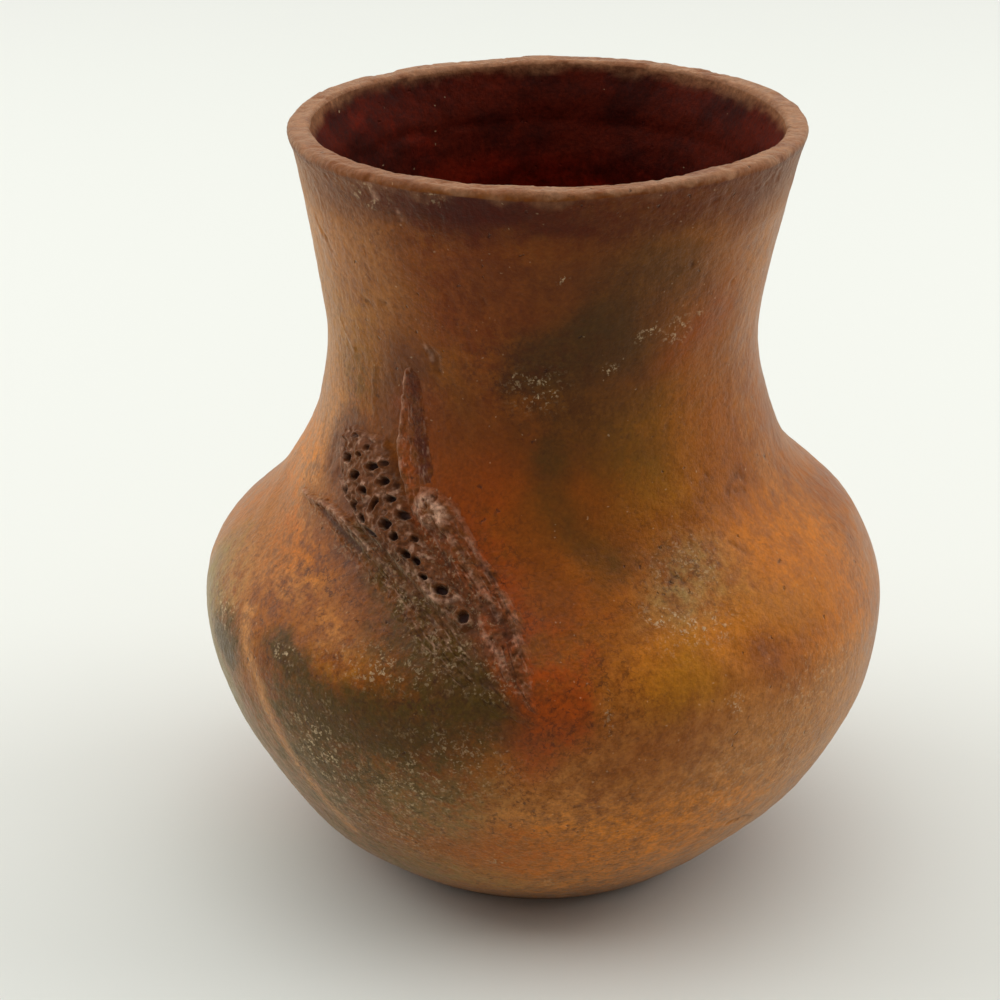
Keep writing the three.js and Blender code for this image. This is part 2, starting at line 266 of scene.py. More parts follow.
def blot(angle, z, spot, width, height, tilt=0, edge=0.5):
    """1 inside an ellipse on the wall, given by its half width and half height, and 0 outside it"""
    across, up = wall_offsets(angle, z, spot)
    t = math.radians(tilt)
    u = across * math.cos(t) + up * math.sin(t)
    v = up * math.cos(t) - across * math.sin(t)
    return 1 - smoothstep(np.hypot(u / width, v / height), 1 - edge, 1 + edge)


def streak(angle, z, spots, half_width, edge=0.6):
    """1 along a line through spots on the wall, and 0 beside it"""
    best = np.full(np.broadcast(angle, z).shape, 1e9)
    for a, b in zip(spots, spots[1:]):
        x, y = wall_offsets(angle, z, a)
        dx, dy = wall_offsets(math.radians(b[0]), b[1], a)
        t = np.clip((x * dx + y * dy) / (dx * dx + dy * dy), 0, 1)
        best = np.minimum(best, np.hypot(x - t * dx, y - t * dy))
    return 1 - smoothstep(best / half_width, 1 - edge, 1 + edge)


def gather(angle, z, marks):
    """The marks together: each is (strength, kind, ...) and the strongest cover shows"""
    clear = np.ones(np.broadcast(angle, z).shape)
    for strength, kind, *rest in marks:
        clear = clear * (1 - strength * kind(angle, z, *rest))
    return 1 - clear


def depth_inside(angle, z, corners):
    """Millimetres from the edge of a region of the wall, and less than nought outside it"""
    best = np.full(angle.shape, 1e9)
    inside = np.zeros(angle.shape, bool)
    degrees = np.degrees(wrap(angle))
    for a, b in zip(corners, corners[1:] + corners[:1]):
        x, y = wall_offsets(angle, z, a)
        dx, dy = wall_offsets(math.radians(b[0]), b[1], a)
        t = np.clip((x * dx + y * dy) / (dx * dx + dy * dy), 0, 1)
        best = np.minimum(best, np.hypot(x - t * dx, y - t * dy))
        if a[1] != b[1]:
            crossed = a[0] + (z - a[1]) / (b[1] - a[1]) * (b[0] - a[0])
            inside ^= ((a[1] > z) != (b[1] > z)) & (degrees < crossed)
    return np.where(inside, best, -best)


# The colours of the open firing, read from the photo. The back can't be seen and is made up.
OLIVE = [
    (0.85, blot, (-84, 142), 13, 8, 8, 0.6),
    (0.65, blot, (-92, 135.5), 8, 5, 0, 0.6),
    (0.75, blot, (-76, 148), 9, 7, 20, 0.6),
    (0.55, blot, (-66, 143), 8, 5, 30, 0.7),
    (0.7, blot, (-67, 160), 17, 11, 0, 0.8),
    (0.45, blot, (-73, 133), 9, 7, 0, 0.8),
    (0.35, blot, (-98, 158), 16, 12, 0, 0.8),
    (0.6, blot, (-90, 124), 9, 11, 0, 0.8),
    (0.45, blot, (-76, 126), 12, 12, 0, 0.8),
    (0.6, streak, [(-90, 119), (-87, 110), (-84, 103), (-78, 97)], 4, 0.9),
    (0.6, blot, (-112, 79), 13, 6, -35, 0.8),
    (0.8, blot, (-99, 72), 8, 5, -30, 0.8),
    (0.5, streak, [(-134, 96), (-122, 90), (-110, 82)], 4, 0.8),
    (0.3, blot, (-75, 104), 7, 8, 0, 0.8),
    (0.35, blot, (-112, 124), 10, 14, 0, 0.8),
    (0.3, streak, [(-93, 104), (-91, 94)], 4, 0.9),
    (0.3, blot, (-68, 118), 8, 9, 0, 0.8),
    (0.95, blot, (-154.5, 66.5), 9, 7, 0, 0.5),
    (0.45, blot, (-135, 36), 36, 34, 0, 0.8),
    (0.9, blot, (-135, 72.5), 9, 4.5, -8, 0.5),
    (0.85, blot, (-119, 64), 25, 8.5, 0, 0.5),
    (0.6, blot, (-129, 50), 13, 14, 0, 0.6),
    (0.45, blot, (-110, 54), 16, 9, 0, 0.7),
    (0.6, blot, (-105, 67), 10, 5, 0, 0.8),
    (0.7, blot, (-104, 74), 11, 6, -30, 0.6),
    (0.35, blot, (-145, 128), 8, 7, 0, 0.8),
    (0.6, blot, (35, 120), 30, 18, 20, 0.6),
    (0.75, blot, (75, 60), 34, 18, -15, 0.5),
    (0.6, blot, (140, 92), 26, 16, 30, 0.6),
    (0.5, blot, (110, 150), 22, 12, 0, 0.7),
]
GREY = [
    (0.4, blot, (-60, 93), 12, 7, 8, 0.8),
    (0.4, blot, (-68, 87), 8, 5, 0, 0.8),
    # Partly a grey smoke cloud and partly painted reflection of the pale floor on the belly's left edge
    (1.0, blot, (-166, 44), 19, 36, 8, 0.6),
    (0.7, blot, (-134, 44), 12, 18, 0, 0.8),
    (0.55, blot, (-112, 44), 14, 12, 0, 0.8),
    (0.5, blot, (-120, 16), 26, 8, 0, 0.8),
    (0.6, blot, (-172, 72), 8, 8, 0, 0.8),
    (0.5, blot, (90, 40), 24, 9, 0, 0.8),
]
OCHRE = [
    (0.5, blot, (-51, 131), 13, 10, 0, 0.7),
    (0.6, blot, (-58, 116), 14, 12, 0, 0.8),
    (0.7, blot, (-67, 76), 10, 7.5, 0, 0.8),
    (0.3, blot, (-124, 76), 10, 4, 0, 0.8),
    (0.5, blot, (-146, 136), 12, 12, 0, 0.7),
    (0.5, blot, (-46, 84), 14, 8, -10, 0.7),
    (0.5, blot, (60, 100), 30, 14, 0, 0.7),
    (0.5, blot, (170, 140), 24, 14, 0, 0.7),
]
RED = [
    (0.5, blot, (-86, 110), 12, 16, 0, 0.8),
    (0.45, streak, [(-95, 122), (-97, 108), (-94, 92)], 6, 0.8),
    (0.35, blot, (-47, 132), 10, 26, 0, 0.8),
    (0.4, blot, (-101, 30), 20, 10, 0, 0.8),
    (0.15, blot, (-42, 80), 18, 12, 0, 0.8),
    (0.3, blot, (-168, 86), 20, 10, 0, 0.8),
    (0.7, blot, (-105, 156), 13, 17, 0, 0.7),
    (0.4, blot, (-89, 161), 11, 8, 0, 0.7),
    (0.75, blot, (-109, 112), 7, 10, 0, 0.7),
    (0.5, blot, (-101, 121), 10, 14, 0, 0.8),
    (0.9, blot, (-87, 74), 5.5, 10, 0, 0.6),
    (0.7, blot, (-91.5, 65), 5.5, 8, 0, 0.7),
    (0.5, streak, [(-104, 98), (-98, 88), (-94, 80)], 3, 0.9),
    (0.6, streak, [(-122, 126), (-114, 106), (-102, 92), (-94, 74)], 5, 0.8),
    (0.5, blot, (-119.5, 118), 3.5, 8, -8, 0.8),
    (0.35, blot, (-62, 138), 12, 4, 25, 0.8),
    (0.4, blot, (20, 140), 28, 14, 0, 0.7),
    (0.4, blot, (120, 120), 30, 14, 0, 0.7),
]
BRIGHT = [
    (0.7, blot, (-36, 92), 18, 13, 0, 0.7),
    (0.35, blot, (-143, 88), 18, 6, -4, 0.7),
    (0.3, blot, (-168, 84), 16, 9, 0, 0.8),
    (0.7, blot, (-56, 83), 17, 7, 0, 0.8),
    (0.4, blot, (-100, 32), 22, 8, 0, 0.8),
    (0.55, blot, (-88, 22), 34, 13, 0, 0.6),
    (0.5, blot, (-32, 78), 16, 12, 0, 0.7),
    (0.2, blot, (-86, 42), 18, 9, 0, 0.8),
    (0.6, blot, (-70, 80), 9, 8, 0, 0.8),
    (0.5, blot, (-46, 83), 14, 6, 0, 0.8),
    (0.6, blot, (-67, 36), 20, 10, 0, 0.8),
    (0.3, blot, (-88, 106), 7, 12, 0, 0.8),
    (0.5, blot, (40, 80), 34, 16, 0, 0.6),
    (0.5, blot, (-175, 100), 18, 12, 0, 0.6),
]
TAN = [
    (0.35, blot, (-62, 84), 14, 7, 0, 0.8),
    (0.2, blot, (-72, 70), 26, 10, 0, 0.8),
    # Partly the clay's colour and partly painted light from the floor on the low front
    (0.5, blot, (-87, 16), 12, 6, 0, 0.8),
    (0.4, blot, (-52, 60), 20, 12, 0, 0.8),
    (0.3, blot, (-90, 52), 20, 12, 0, 0.8),
    (0.5, blot, (-150, 83), 14, 5, 0, 0.8),
    (0.7, blot, (-44, 48), 28, 18, 10, 0.6),
    (0.5, blot, (-30, 64), 14, 10, 0, 0.7),
    (0.35, blot, (-126, 82), 14, 5.5, -10, 0.8),
    (0.8, blot, (-172, 92), 20, 30, 0, 0.6),
    (0.6, blot, (-172, 30), 12, 20, 0, 0.8),
    (0.85, blot, (-163, 140), 13, 44, 0, 0.6),
    (0.5, blot, (-138, 160), 12, 22, 0, 0.8),
    (0.3, blot, (-22, 90), 9, 22, 0, 0.8),
    (0.35, blot, (-30, 152), 12, 26, 0, 0.8),
    # These two wide blots low at the front are partly the clay's colour and partly painted light from the floor below
    (0.5, blot, (-66, 20), 34, 20, 0, 0.7),
    (0.4, blot, (-90, 30), 80, 24, 0, 0.7),
    (0.45, blot, (-98, 40), 22, 9, 0, 0.7),
    (0.5, blot, (100, 30), 30, 10, 0, 0.7),
]
# Where the ear's pieces lie on the wall
EAR_BED = [
    (1, streak, [(-158, 98), (-142, 104), (-120, 98), (-103, 84), (-92, 70)], 24, 0.4),
    (1, streak, [(-126, 134), (-121, 108)], 14, 0.5),
]
# Smoke and rough clay round the ear, the same on the wall and on the ear's own pieces, and a painted shadow on the wall
# above the cob's top edge
EAR_SMOKE_AND_SHADOW = [
    (0.85, streak, [(-147, 110), (-140, 107), (-131, 103), (-122, 97), (-113, 90), (-105, 84), (-98, 76),
                    (-93.5, 71)], 9.5, 0.5),
    (0.5, streak, [(-138, 91), (-122, 84), (-108, 76)], 5, 0.8),
    (0.7, streak, [(-127, 135), (-125, 122), (-121, 113), (-115, 105), (-107, 96), (-99, 85)], 7, 0.8),
    (0.5, blot, (-134, 126), 4.5, 8, 0, 0.5),
    # Painted shadow on the wall above the cob's top edge
    (0.55, blot, (-141, 118), 9, 2.6, 0, 0.7),
    (0.45, streak, [(-157, 97), (-142, 95), (-130, 90)], 3.5, 0.8),
    (0.5, blot, (-107, 73), 9, 5, -25, 0.7),
]
# Pale granular patches, scratches and rubbed clay
SCUFFS = [
    (0.55, blot, (-63, 84), 9, 4, 0, 0.9),
    (0.3, streak, [(-160, 99), (-146, 97), (-130, 94), (-115, 86), (-102, 77)], 4, 0.9),
    (0.3, streak, [(-118, 104), (-110, 95), (-102, 84), (-96, 76)], 4, 0.9),
    (0.8, streak, [(-98, 137.6), (-93, 137), (-90, 135.4)], 0.9, 0.9),
    (0.8, streak, [(-96, 131), (-91, 131.6), (-88, 133)], 0.9, 0.9),
    (0.35, blot, (-92, 134), 6, 4.5, 0, 0.8),
    (0.9, blot, (-73.5, 137.8), 1.5, 1.4, 0, 0.7),
    (0.8, blot, (-64, 145.5), 2.2, 1.4, 20, 0.8),
    (0.7, blot, (-55.5, 145.5), 4.5, 2.6, 10, 0.9),
    (0.5, blot, (-49.5, 147.5), 2, 1.6, 0, 0.9),
    (0.9, blot, (-70.5, 87.5), 3.4, 2.2, -20, 0.8),
    (0.45, blot, (-64, 84.5), 5, 2.4, -20, 0.9),
    (0.35, blot, (-60, 95), 9, 6, 0, 0.9),
    (0.8, blot, (-157, 71), 6, 3.5, 0, 0.9),
    (0.8, blot, (-136, 72.5), 3.5, 2, 0, 0.9),
    (0.75, blot, (-129, 50), 8, 13, 0, 0.9),
    (0.5, blot, (-113, 45), 10, 9, 0, 0.9),
    (0.4, blot, (-104, 58), 12, 8, 0, 0.9),
    (0.5, blot, (-118, 76), 12, 4, 0, 0.9),
    (0.5, blot, (-122, 30), 16, 9, 0, 0.9),
    (0.8, blot, (-98, 27), 2.2, 1.8, 0, 0.8),
    (0.9, blot, (-87.5, 16.5), 3, 2.6, 0, 0.8),
    (0.7, streak, [(-84.5, 12), (-83.8, 10)], 0.8, 0.8),
    (0.6, blot, (-58.5, 68), 3, 2.4, 0, 0.9),
    (0.6, streak, [(-79, 75), (-79.8, 66)], 0.6, 0.9),
    (0.4, blot, (-40, 66), 16, 5, 0, 0.9),
    (0.35, blot, (-46, 46), 22, 14, 0, 0.9),
    (0.8, blot, (-131, 175), 4, 2.4, 0, 0.9),
    (0.6, blot, (-115, 178), 3, 1.5, 0, 0.9),
    (0.7, blot, (-86, 160.5), 0.8, 0.8, 0, 0.8),
]
# Where the clay is coarse and crazed rather than burnished smooth
GRIT = [
    (0.9, blot, (-152, 84), 30, 40, 0, 0.6),
    (1.0, blot, (-128, 42), 46, 46, 0, 0.6),
    (0.8, streak, [(-147, 112), (-131, 103), (-113, 92), (-98, 78)], 16, 0.7),
    (0.6, blot, (-90, 24), 80, 34, 0, 0.6),
    (0.7, blot, (-62, 92), 14, 9, 0, 0.8),
    (0.6, blot, (-92, 135), 12, 10, 0, 0.8),
    (0.4, blot, (-138, 156), 26, 26, 0, 0.8),
    (0.5, blot, (-88, 75), 16, 15, 0, 0.8),
    (0.6, blot, (90, 90), 80, 90, 0, 0.5),
]
# A strip between the clouds on the left that the smoke left bare
BARE_STRIP = [
    (0.9, streak, [(-150, 75), (-146.5, 69), (-143, 62), (-140.5, 54), (-138, 45), (-135.5, 35), (-131, 24)],
     2.6, 0.9),
]
# Rubbed lines on the wall
RUBBED = [
    (0.5, streak, [(-129, 178), (-128, 175)], 0.6, 0.9),
    (0.5, streak, [(-124, 172.8), (-122.6, 171.6)], 0.5, 0.9),
    (0.5, streak, [(-157, 161), (-153, 158.4), (-151, 156.6)], 0.6, 0.9),
    (0.45, streak, [(-120.6, 141), (-119.4, 138)], 0.6, 0.9),
    (0.4, streak, [(-151, 138.5), (-148.5, 136.5)], 0.7, 0.9),
]
# Nicks, creases and ridges: a line over the wall, its half width, its depth (less than nought for a
# ridge), and how dark it is, which is painted shade in the nick or crease
CUTS = [
    ([(-119.4, 140.6), (-118, 138.8), (-117.2, 136.2)], 0.9, 0.5, 0.6),
    ([(-108.9, 147.5), (-108.5, 142)], 0.5, 0.15, 0.4),
    ([(-91, 116), (-87, 109), (-81.5, 100.5)], 2.2, 0.22, 0.1),
    ([(-84.5, 106.4), (-81.2, 103.2)], 0.3, -0.12, 0),
    ([(-47.8, 96.9), (-46.2, 94.2)], 0.45, 0.3, 0.6),
    ([(-66.1, 92.6), (-64.9, 94), (-63.5, 92.4)], 0.45, 0.3, 0.7),
    ([(-67.6, 96.2), (-66, 97.7), (-63, 99)], 0.5, 0.14, 0.4),
    ([(-61, 98), (-56, 97.4), (-49, 98.3)], 0.35, 0.12, 0.3),
    ([(-63, 101.2), (-57, 101.8), (-51, 102)], 0.35, 0.1, 0.25),
    ([(-42, 104.6), (-40, 106.5), (-36, 106.9), (-34.6, 105.2)], 0.8, 0.26, 0.5),
    ([(-39, 104.2), (-36.5, 103.6)], 0.7, 0.22, 0.45),
    ([(-75.4, 53.4), (-75.1, 50.4), (-74.8, 47.4)], 0.4, 0.3, 0.7),
    ([(-44.6, 28.8), (-48.4, 30.3), (-52.6, 31)], 0.5, 0.35, 0.6),
    ([(-156.3, 162.2), (-153, 159.6), (-150.2, 157.6)], 0.7, 0.28, 0.15),
    ([(-154.2, 139.6), (-150.6, 137.3), (-147.8, 134.4)], 0.6, -0.28, 0),
    ([(-150.8, 171.2), (-151.8, 167.4)], 0.6, -0.2, 0),
    ([(-159, 163), (-155.4, 160)], 1.4, -0.25, 0),
    ([(-139.6, 149.3), (-137.4, 148.3), (-136.4, 148.4)], 0.55, 0.3, 0.6),
    ([(-133.2, 149.9), (-132.1, 149.8)], 0.55, 0.3, 0.6),
    ([(-126.4, 151.8), (-123.4, 152.1)], 0.45, 0.2, 0.4),
    ([(-103.9, 155), (-103.7, 153.6)], 0.5, 0.2, 0.4),
    ([(-55.2, 161.3), (-54.9, 160.9)], 0.7, 0.3, 0.6),
    ([(-39.4, 152.7), (-39.1, 152.5)], 0.6, 0.28, 0.5),
    ([(-56.8, 122.8), (-56.4, 122.7)], 0.65, 0.28, 0.5),
    ([(-52, 122.9), (-51.7, 122.6)], 0.6, 0.25, 0.5),
    ([(-34, 121.6), (-31.6, 122.3)], 0.5, 0.2, 0.3),
    ([(-39, 123.6), (-36, 124.8)], 0.5, -0.15, 0),
    ([(-48.4, 110.4), (-46.8, 109.9)], 0.4, 0.15, 0.4),
    ([(-78.4, 65.8), (-77.4, 64.2)], 0.45, 0.22, 0.6),
    ([(-21.8, 89.2), (-20.6, 88)], 0.6, -0.18, 0),
    ([(-56, 79), (-48, 76.6), (-38, 77.2)], 3.4, 0.35, 0.1),
    ([(-52, 72.6), (-44, 74), (-35, 74.6)], 2.6, -0.2, 0),
    ([(-150, 112), (-151, 108), (-150.6, 103.4)], 0.8, -0.2, 0),
    ([(-153.6, 111), (-153.8, 104)], 0.6, 0.2, 0.15),
    ([(-139.2, 133), (-139.5, 127), (-138.6, 121.5)], 0.6, -0.18, 0),
]


def clay_masks(angle, z, points):
    """How strongly each colour of the firing shows, from 0 to 1, on the outer wall"""
    shift = [fractal(points, 14, seed, 4) * 5.5 for seed in (11, 21)]
    spot_angle = angle + shift[0] / wall_radius(z)
    spot_z = z + shift[1]
    masks = {}
    for seed, (name, marks) in enumerate(
            {"olive": OLIVE, "grey": GREY, "ochre": OCHRE, "red": RED, "bright": BRIGHT, "tan": TAN}.items()):
        masks[name] = gather(spot_angle, spot_z, marks)
    near = [fractal(points, 5, seed, 3) * 1.6 for seed in (31, 41)]
    masks["ear"] = gather(angle + near[0] / wall_radius(z), z + near[1], EAR_SMOKE_AND_SHADOW)
    masks["scuff"] = gather(angle + near[1] / wall_radius(z), z + near[0], SCUFFS)
    masks["wear_and_highlight"] = gather(angle + near[1] / wall_radius(z), z + near[0], RUBBED)
    bare = gather(angle + 0.5 * near[0] / wall_radius(z), z + near[1], BARE_STRIP)
    masks["olive"] = masks["olive"] * (1 - bare)
    masks["grey"] = masks["grey"] * (1 - bare)
    masks["tan"] = np.maximum(masks["tan"], bare)
    masks["grit"] = gather(spot_angle, spot_z, GRIT)
    return masks


def cuts(angle, z):
    """The depth of the nicks and creases, and their darkness, which is painted shade"""
    depth = np.zeros(angle.shape)
    dark = np.zeros(angle.shape)
    where = place(angle, wall_radius(z), z)
    sway = [fractal(where, 2.6, seed, 2) * 0.9 for seed in (51, 61)]
    thin = 0.75 + 0.6 * fractal(where, 1.6, 71, 2)
    angle = angle + sway[0] / wall_radius(z)
    z = z + sway[1]
    for spots, half_width, deep, painted_shade in CUTS:
        line = streak(angle, z, spots, half_width, 0.95) * np.clip(thin, 0, 1)
        depth += deep * line
        dark = np.maximum(dark, 0.7 * painted_shade * line)
    return depth, dark


def outer_lift(angle, z, points):
    """How far the outer wall stands off the true outline. It stays below it at the belly, which the CAD's
    box touches, at the foot, and under the ear."""
    lumps = 0.36 * fractal(points, (26, 26, 20), 101, 2)
    dents = 0.2 * fractal(points, (8, 8, 9), 111, 3)
    strokes = 0.07 * fractal(points, (2.4, 2.4, 11), 121, 2)
    grain = 0.06 * fractal(points, 1.5, 131, 2)
    rough = 0.16 * gather(angle, z, EAR_SMOKE_AND_SHADOW) * fractal(points, 1.4, 141, 2)
    belly = bell(z - BELLY_HEIGHT, 24)
    foot = 1 - smoothstep(z, 4, 14)
    bed = gather(angle, z, EAR_BED)
    lift = -0.1 * belly - 0.3 * foot - 0.42 * bed + lumps + dents + strokes + grain + rough
    for swell, at, height, spread, spread_up in SWELLS:
        lift = lift + swell * bell(wrap(angle - math.radians(at)), math.radians(spread)) * bell(z - height, spread_up)
    free = 1 - np.maximum(np.maximum(belly, foot), bed)
    return np.minimum(1.8 * free - 0.1, lift - cuts(angle, z)[0])


def inner_lift(points):
    """The inside was pressed and scraped by hand, so it is more uneven than the outside"""
    lumps = 0.7 * fractal(points, (20, 20, 8), 201, 3)
    grain = 0.26 * fractal(points, (5, 5, 2.6), 211, 3)
    return lumps + grain


def lip_lift(angle, points):
    waves = 0.6 * fractal(points, 13, 301, 2)
    chips = 0.6 * np.minimum(0, fractal(points, 3.0, 311, 3) + 0.1)
    grain = 0.1 * fractal(points, 1.1, 321, 2)
    return -0.2 + waves + chips + grain


columns = ANGLES[None, :]


def build_sheet():
    """The whole surface of the vessel as one grid of points, with what each row is"""
    rows = []
    kinds = []
    # The underside of the foot
    for r in np.arange(1.0, FOOT_RADIUS - 0.4, 2.2):
        rows.append(place(columns, np.full_like(columns, r), np.zeros_like(columns))[0])
        kinds.append("foot")
    foot_rows = len(rows)
    # The outer wall
    z = OUTER_Z[:, None] + 0 * columns
    angle = columns + 0 * z
    flat = place(angle, wall_radius(z), z)
    fade = smoothstep(z, 0.0, 3.0)
    top_fade = 1 - smoothstep(z, RIM_JOINT, WALL_TOP[1])
    lift = outer_lift(angle, z, flat)
    lip = lip_lift(angle, flat)
    lift = fade * (lift * top_fade + lip * (1 - top_fade)) - 0.35 * (1 - fade)
    outer = flat + wall_normal(angle, z) * lift[..., None]
    # The foot's edge is rounded off by hand
    near_edge = bell(z - 0, 1.3)
    outer[..., :2] *= (1 - 0.012 * near_edge)[..., None]
    outer[..., 2] = np.maximum(outer[..., 2], 0)
    outer[0, :, 2] = 0
    # The lip
    outer_turns = np.linspace(-MOUTH_FLARE, np.pi / 2, LIP_EDGE_ROWS + 1)[1:]
    inner_turns = np.linspace(np.pi / 2, np.pi - MOUTH_FLARE, LIP_EDGE_ROWS)
    share = np.linspace(0, 1, LIP_FLAT_ROWS + 2)[1:-1]
    turns = np.concatenate([outer_turns, np.full(LIP_FLAT_ROWS, np.pi / 2), inner_turns])[:, None]
    share = np.concatenate([0 * outer_turns, share, 0 * inner_turns + 1])[:, None]
    a = columns + 0 * turns
    lean = np.stack([np.cos(turns), np.sin(turns)])
    r = OUTER_EDGE[0] * (1 - share) + INNER_EDGE[0] * share + LIP_EDGE * lean[0] + 0 * a
    zz = OUTER_EDGE[1] + LIP_EDGE * lean[1] + 0 * a
    lip_flat = place(a, r, zz)
    out = np.stack([np.cos(a) * lean[0], np.sin(a) * lean[0], lean[1] + 0 * a], -1)
    lip_points = lip_flat + out * lip_lift(a, lip_flat)[..., None]
    # The inner wall, downwards
    inner_levels = INNER_Z[INNER_Z > DISH_JOINT - 1e-6][::-1]
    zi = inner_levels[:, None] + 0 * columns
    ai = columns + 0 * zi
    bottoms = np.array([max(j for j in JOINTS[:-1] if j <= h + 1e-6) for h in inner_levels])
    tops = np.array([min(j for j in JOINTS if j > b + 1e-6) for b in bottoms])
    ri = np.stack([inner_radius(h, b, t) for h, b, t in zip(inner_levels, bottoms, tops)])[:, None] + 0 * ai
    inner_flat = place(ai, ri, zi)
    inward = -wall_normal(ai, zi)
    close = smoothstep(zi, RIM_JOINT, WALL_TOP[1])
    push = inner_lift(inner_flat) * (1 - close) + lip_lift(ai, inner_flat) * close
    inner = inner_flat + inward * push[..., None]
    # The floor, inwards
    slope = float(wall_slope(DISH_JOINT))
    brim = float(inner_radius(np.asarray(float(DISH_JOINT)), 0, DISH_JOINT))
    corner = np.array([brim - (DISH_JOINT - FLOOR) * slope, FLOOR])
    flat_edge = np.array([min(FLOOR_FLAT_RADIUS, corner[0]), FLOOR])
    t = np.linspace(0, 1, 14)[1:, None]
    curve = (1 - t) ** 2 * np.array([brim, DISH_JOINT]) + 2 * (1 - t) * t * corner + t * t * flat_edge
    flat_rows = np.arange(flat_edge[0] - 1.6, 0.8, -1.6)
    section = np.vstack([curve, np.column_stack([flat_rows, np.full(len(flat_rows), FLOOR)])])
    rf = section[:, :1] + 0 * columns
    zf = section[:, 1:] + 0 * columns
    af = columns + 0 * rf
    floor_flat = place(af, rf, zf)
    floor_points = floor_flat.copy()
    floor_points[..., 2] += 0.6 * inner_lift(floor_flat)
    sheet = np.concatenate([np.stack(rows), outer, lip_points, inner, floor_points])
    near_lip = np.clip((sheet[..., 2] - RIM_JOINT) / RIM_COIL_HEIGHT, 0, 1)
    for pull, at, spread in LIP_PULLS:
        sheet[..., 2] += pull * bell(wrap(columns - math.radians(at)), math.radians(spread)) * near_lip
    sheet[..., 2] = np.minimum(sheet[..., 2], HEIGHT + RIM_RISE - 0.03)
    sheet[..., :2] = np.clip(sheet[..., :2], -WIDEST, WIDEST)
    counts = [foot_rows, len(outer), len(lip_points), len(inner), len(floor_points)]
    return sheet, counts, inner_levels


sheet, counts, INNER_LEVELS = build_sheet()
FOOT_ROWS, OUTER_ROWS, LIP_COUNT, INNER_ROWS, FLOOR_ROWS = counts
OUTER_AT = FOOT_ROWS
LIP_AT = OUTER_AT + OUTER_ROWS
INNER_AT = LIP_AT + LIP_COUNT
FLOOR_AT = INNER_AT + INNER_ROWS


def surface_normals(points, closed):
    along = np.gradient(points, axis=0)
    if closed:
        around = np.roll(points, -1, 1) - np.roll(points, 1, 1)
    else:
        around = np.gradient(points, axis=1)
    normal = np.cross(around, along)
    return normal / np.maximum(np.linalg.norm(normal, axis=-1, keepdims=True), 1e-12)


sheet_normals = surface_normals(sheet, True)

# Masks on the whole sheet
sheet_angle = ANGLES[None, :] + np.zeros((len(sheet), 1))
outer_z = OUTER_Z[:, None] + 0 * columns
MASKS = ("olive", "grey", "ochre", "red", "bright", "tan", "ear", "band", "lip", "deep", "pit_shade", "scuff", "grit",
         "wear_and_highlight")
masks = {name: np.zeros(sheet.shape[:2], np.float32) for name in MASKS}
outer_slice = slice(OUTER_AT, LIP_AT)
outer_angle = sheet_angle[outer_slice]
for name, values in clay_masks(outer_angle, outer_z, sheet[outer_slice]).items():
    masks[name][outer_slice] = values
# Painted shade in the nicks and creases
masks["pit_shade"][outer_slice] = cuts(outer_angle, outer_z)[1]
# The lip is bare brown clay, with a smoked band below it that fades on the left, and the band's colour laid thinly over
# the front of the neck as painted shade
band = fractal(sheet[outer_slice], (14, 14, 5), 401, 3) * 4
front = bell(wrap(outer_angle - math.radians(-106)), math.radians(48))
side = bell(wrap(outer_angle - math.radians(-35)), math.radians(30))
behind = bell(wrap(outer_angle - math.radians(90)), math.radians(70))
weight = np.clip(front + 0.55 * side + 0.8 * behind, 0, 1)
# Painted shade: the front of the neck, facing the camera, is darkened with the band's colour
front_neck_shade = bell(wrap(outer_angle - math.radians(-95)), math.radians(46)) * smoothstep(outer_z + 3 * band, 108, 138)
masks["band"][outer_slice] = np.maximum(np.maximum(weight * smoothstep(outer_z + band, 161, 174), 0.36 * front_neck_shade),
                                        0.8 * smoothstep(outer_z + 0.5 * band, 175, 178.5))
lip_edge = fractal(sheet[outer_slice], 4, 441, 3) * 3
masks["lip"][outer_slice] = 0.4 * front * smoothstep(outer_z + lip_edge, 176.4, 178.4)
across_lip = np.linspace(0, 1, INNER_AT - LIP_AT)[:, None]
lip_ragged = fractal(sheet[LIP_AT:INNER_AT], 2.2, 411, 2) * 0.16
lip_dirt = np.clip(0.66 + 1.3 * fractal(sheet[LIP_AT:INNER_AT], 4, 431, 3), 0.1, 1)
lip_dirt = lip_dirt * (1 - 0.45 * bell(wrap(columns - math.radians(-132)), math.radians(18)))
lip_back = bell(wrap(columns - math.radians(80)), math.radians(75))
lip_dirt = np.minimum(1, lip_dirt + 0.35 * lip_back)
masks["lip"][LIP_AT:INNER_AT] = smoothstep(across_lip + lip_ragged, -0.05, 0.12) * lip_dirt
masks["band"][LIP_AT:INNER_AT] = 0.55
# Pale dashes along the lip: partly wear and partly painted glints
glints = smoothstep(fractal(sheet[LIP_AT:INNER_AT] / (2, 1, 1), 1, 451, 3), 0.2, 0.5)
masks["wear_and_highlight"][LIP_AT:INNER_AT] = (0.15 + 0.4 * lip_back) * glints * bell(across_lip - 0.5, 0.35)
inner_ragged = fractal(sheet[INNER_AT:FLOOR_AT], (5, 5, 3), 421, 3) * 2.5
masks["lip"][INNER_AT:FLOOR_AT] = smoothstep(sheet[INNER_AT:FLOOR_AT, :, 2] + inner_ragged, 175.5, 179.5)
inner_z = sheet[INNER_AT:, :, 2]
# Lower down the inside is a lighter, stronger red: partly the clay's colour, partly painted light bounced inside the
# vessel
masks["deep"][INNER_AT:] = (1 - smoothstep(inner_z, 125, 160)) * (0.3 + 0.7 * smoothstep(inner_z, 40, 105))


# Meshes

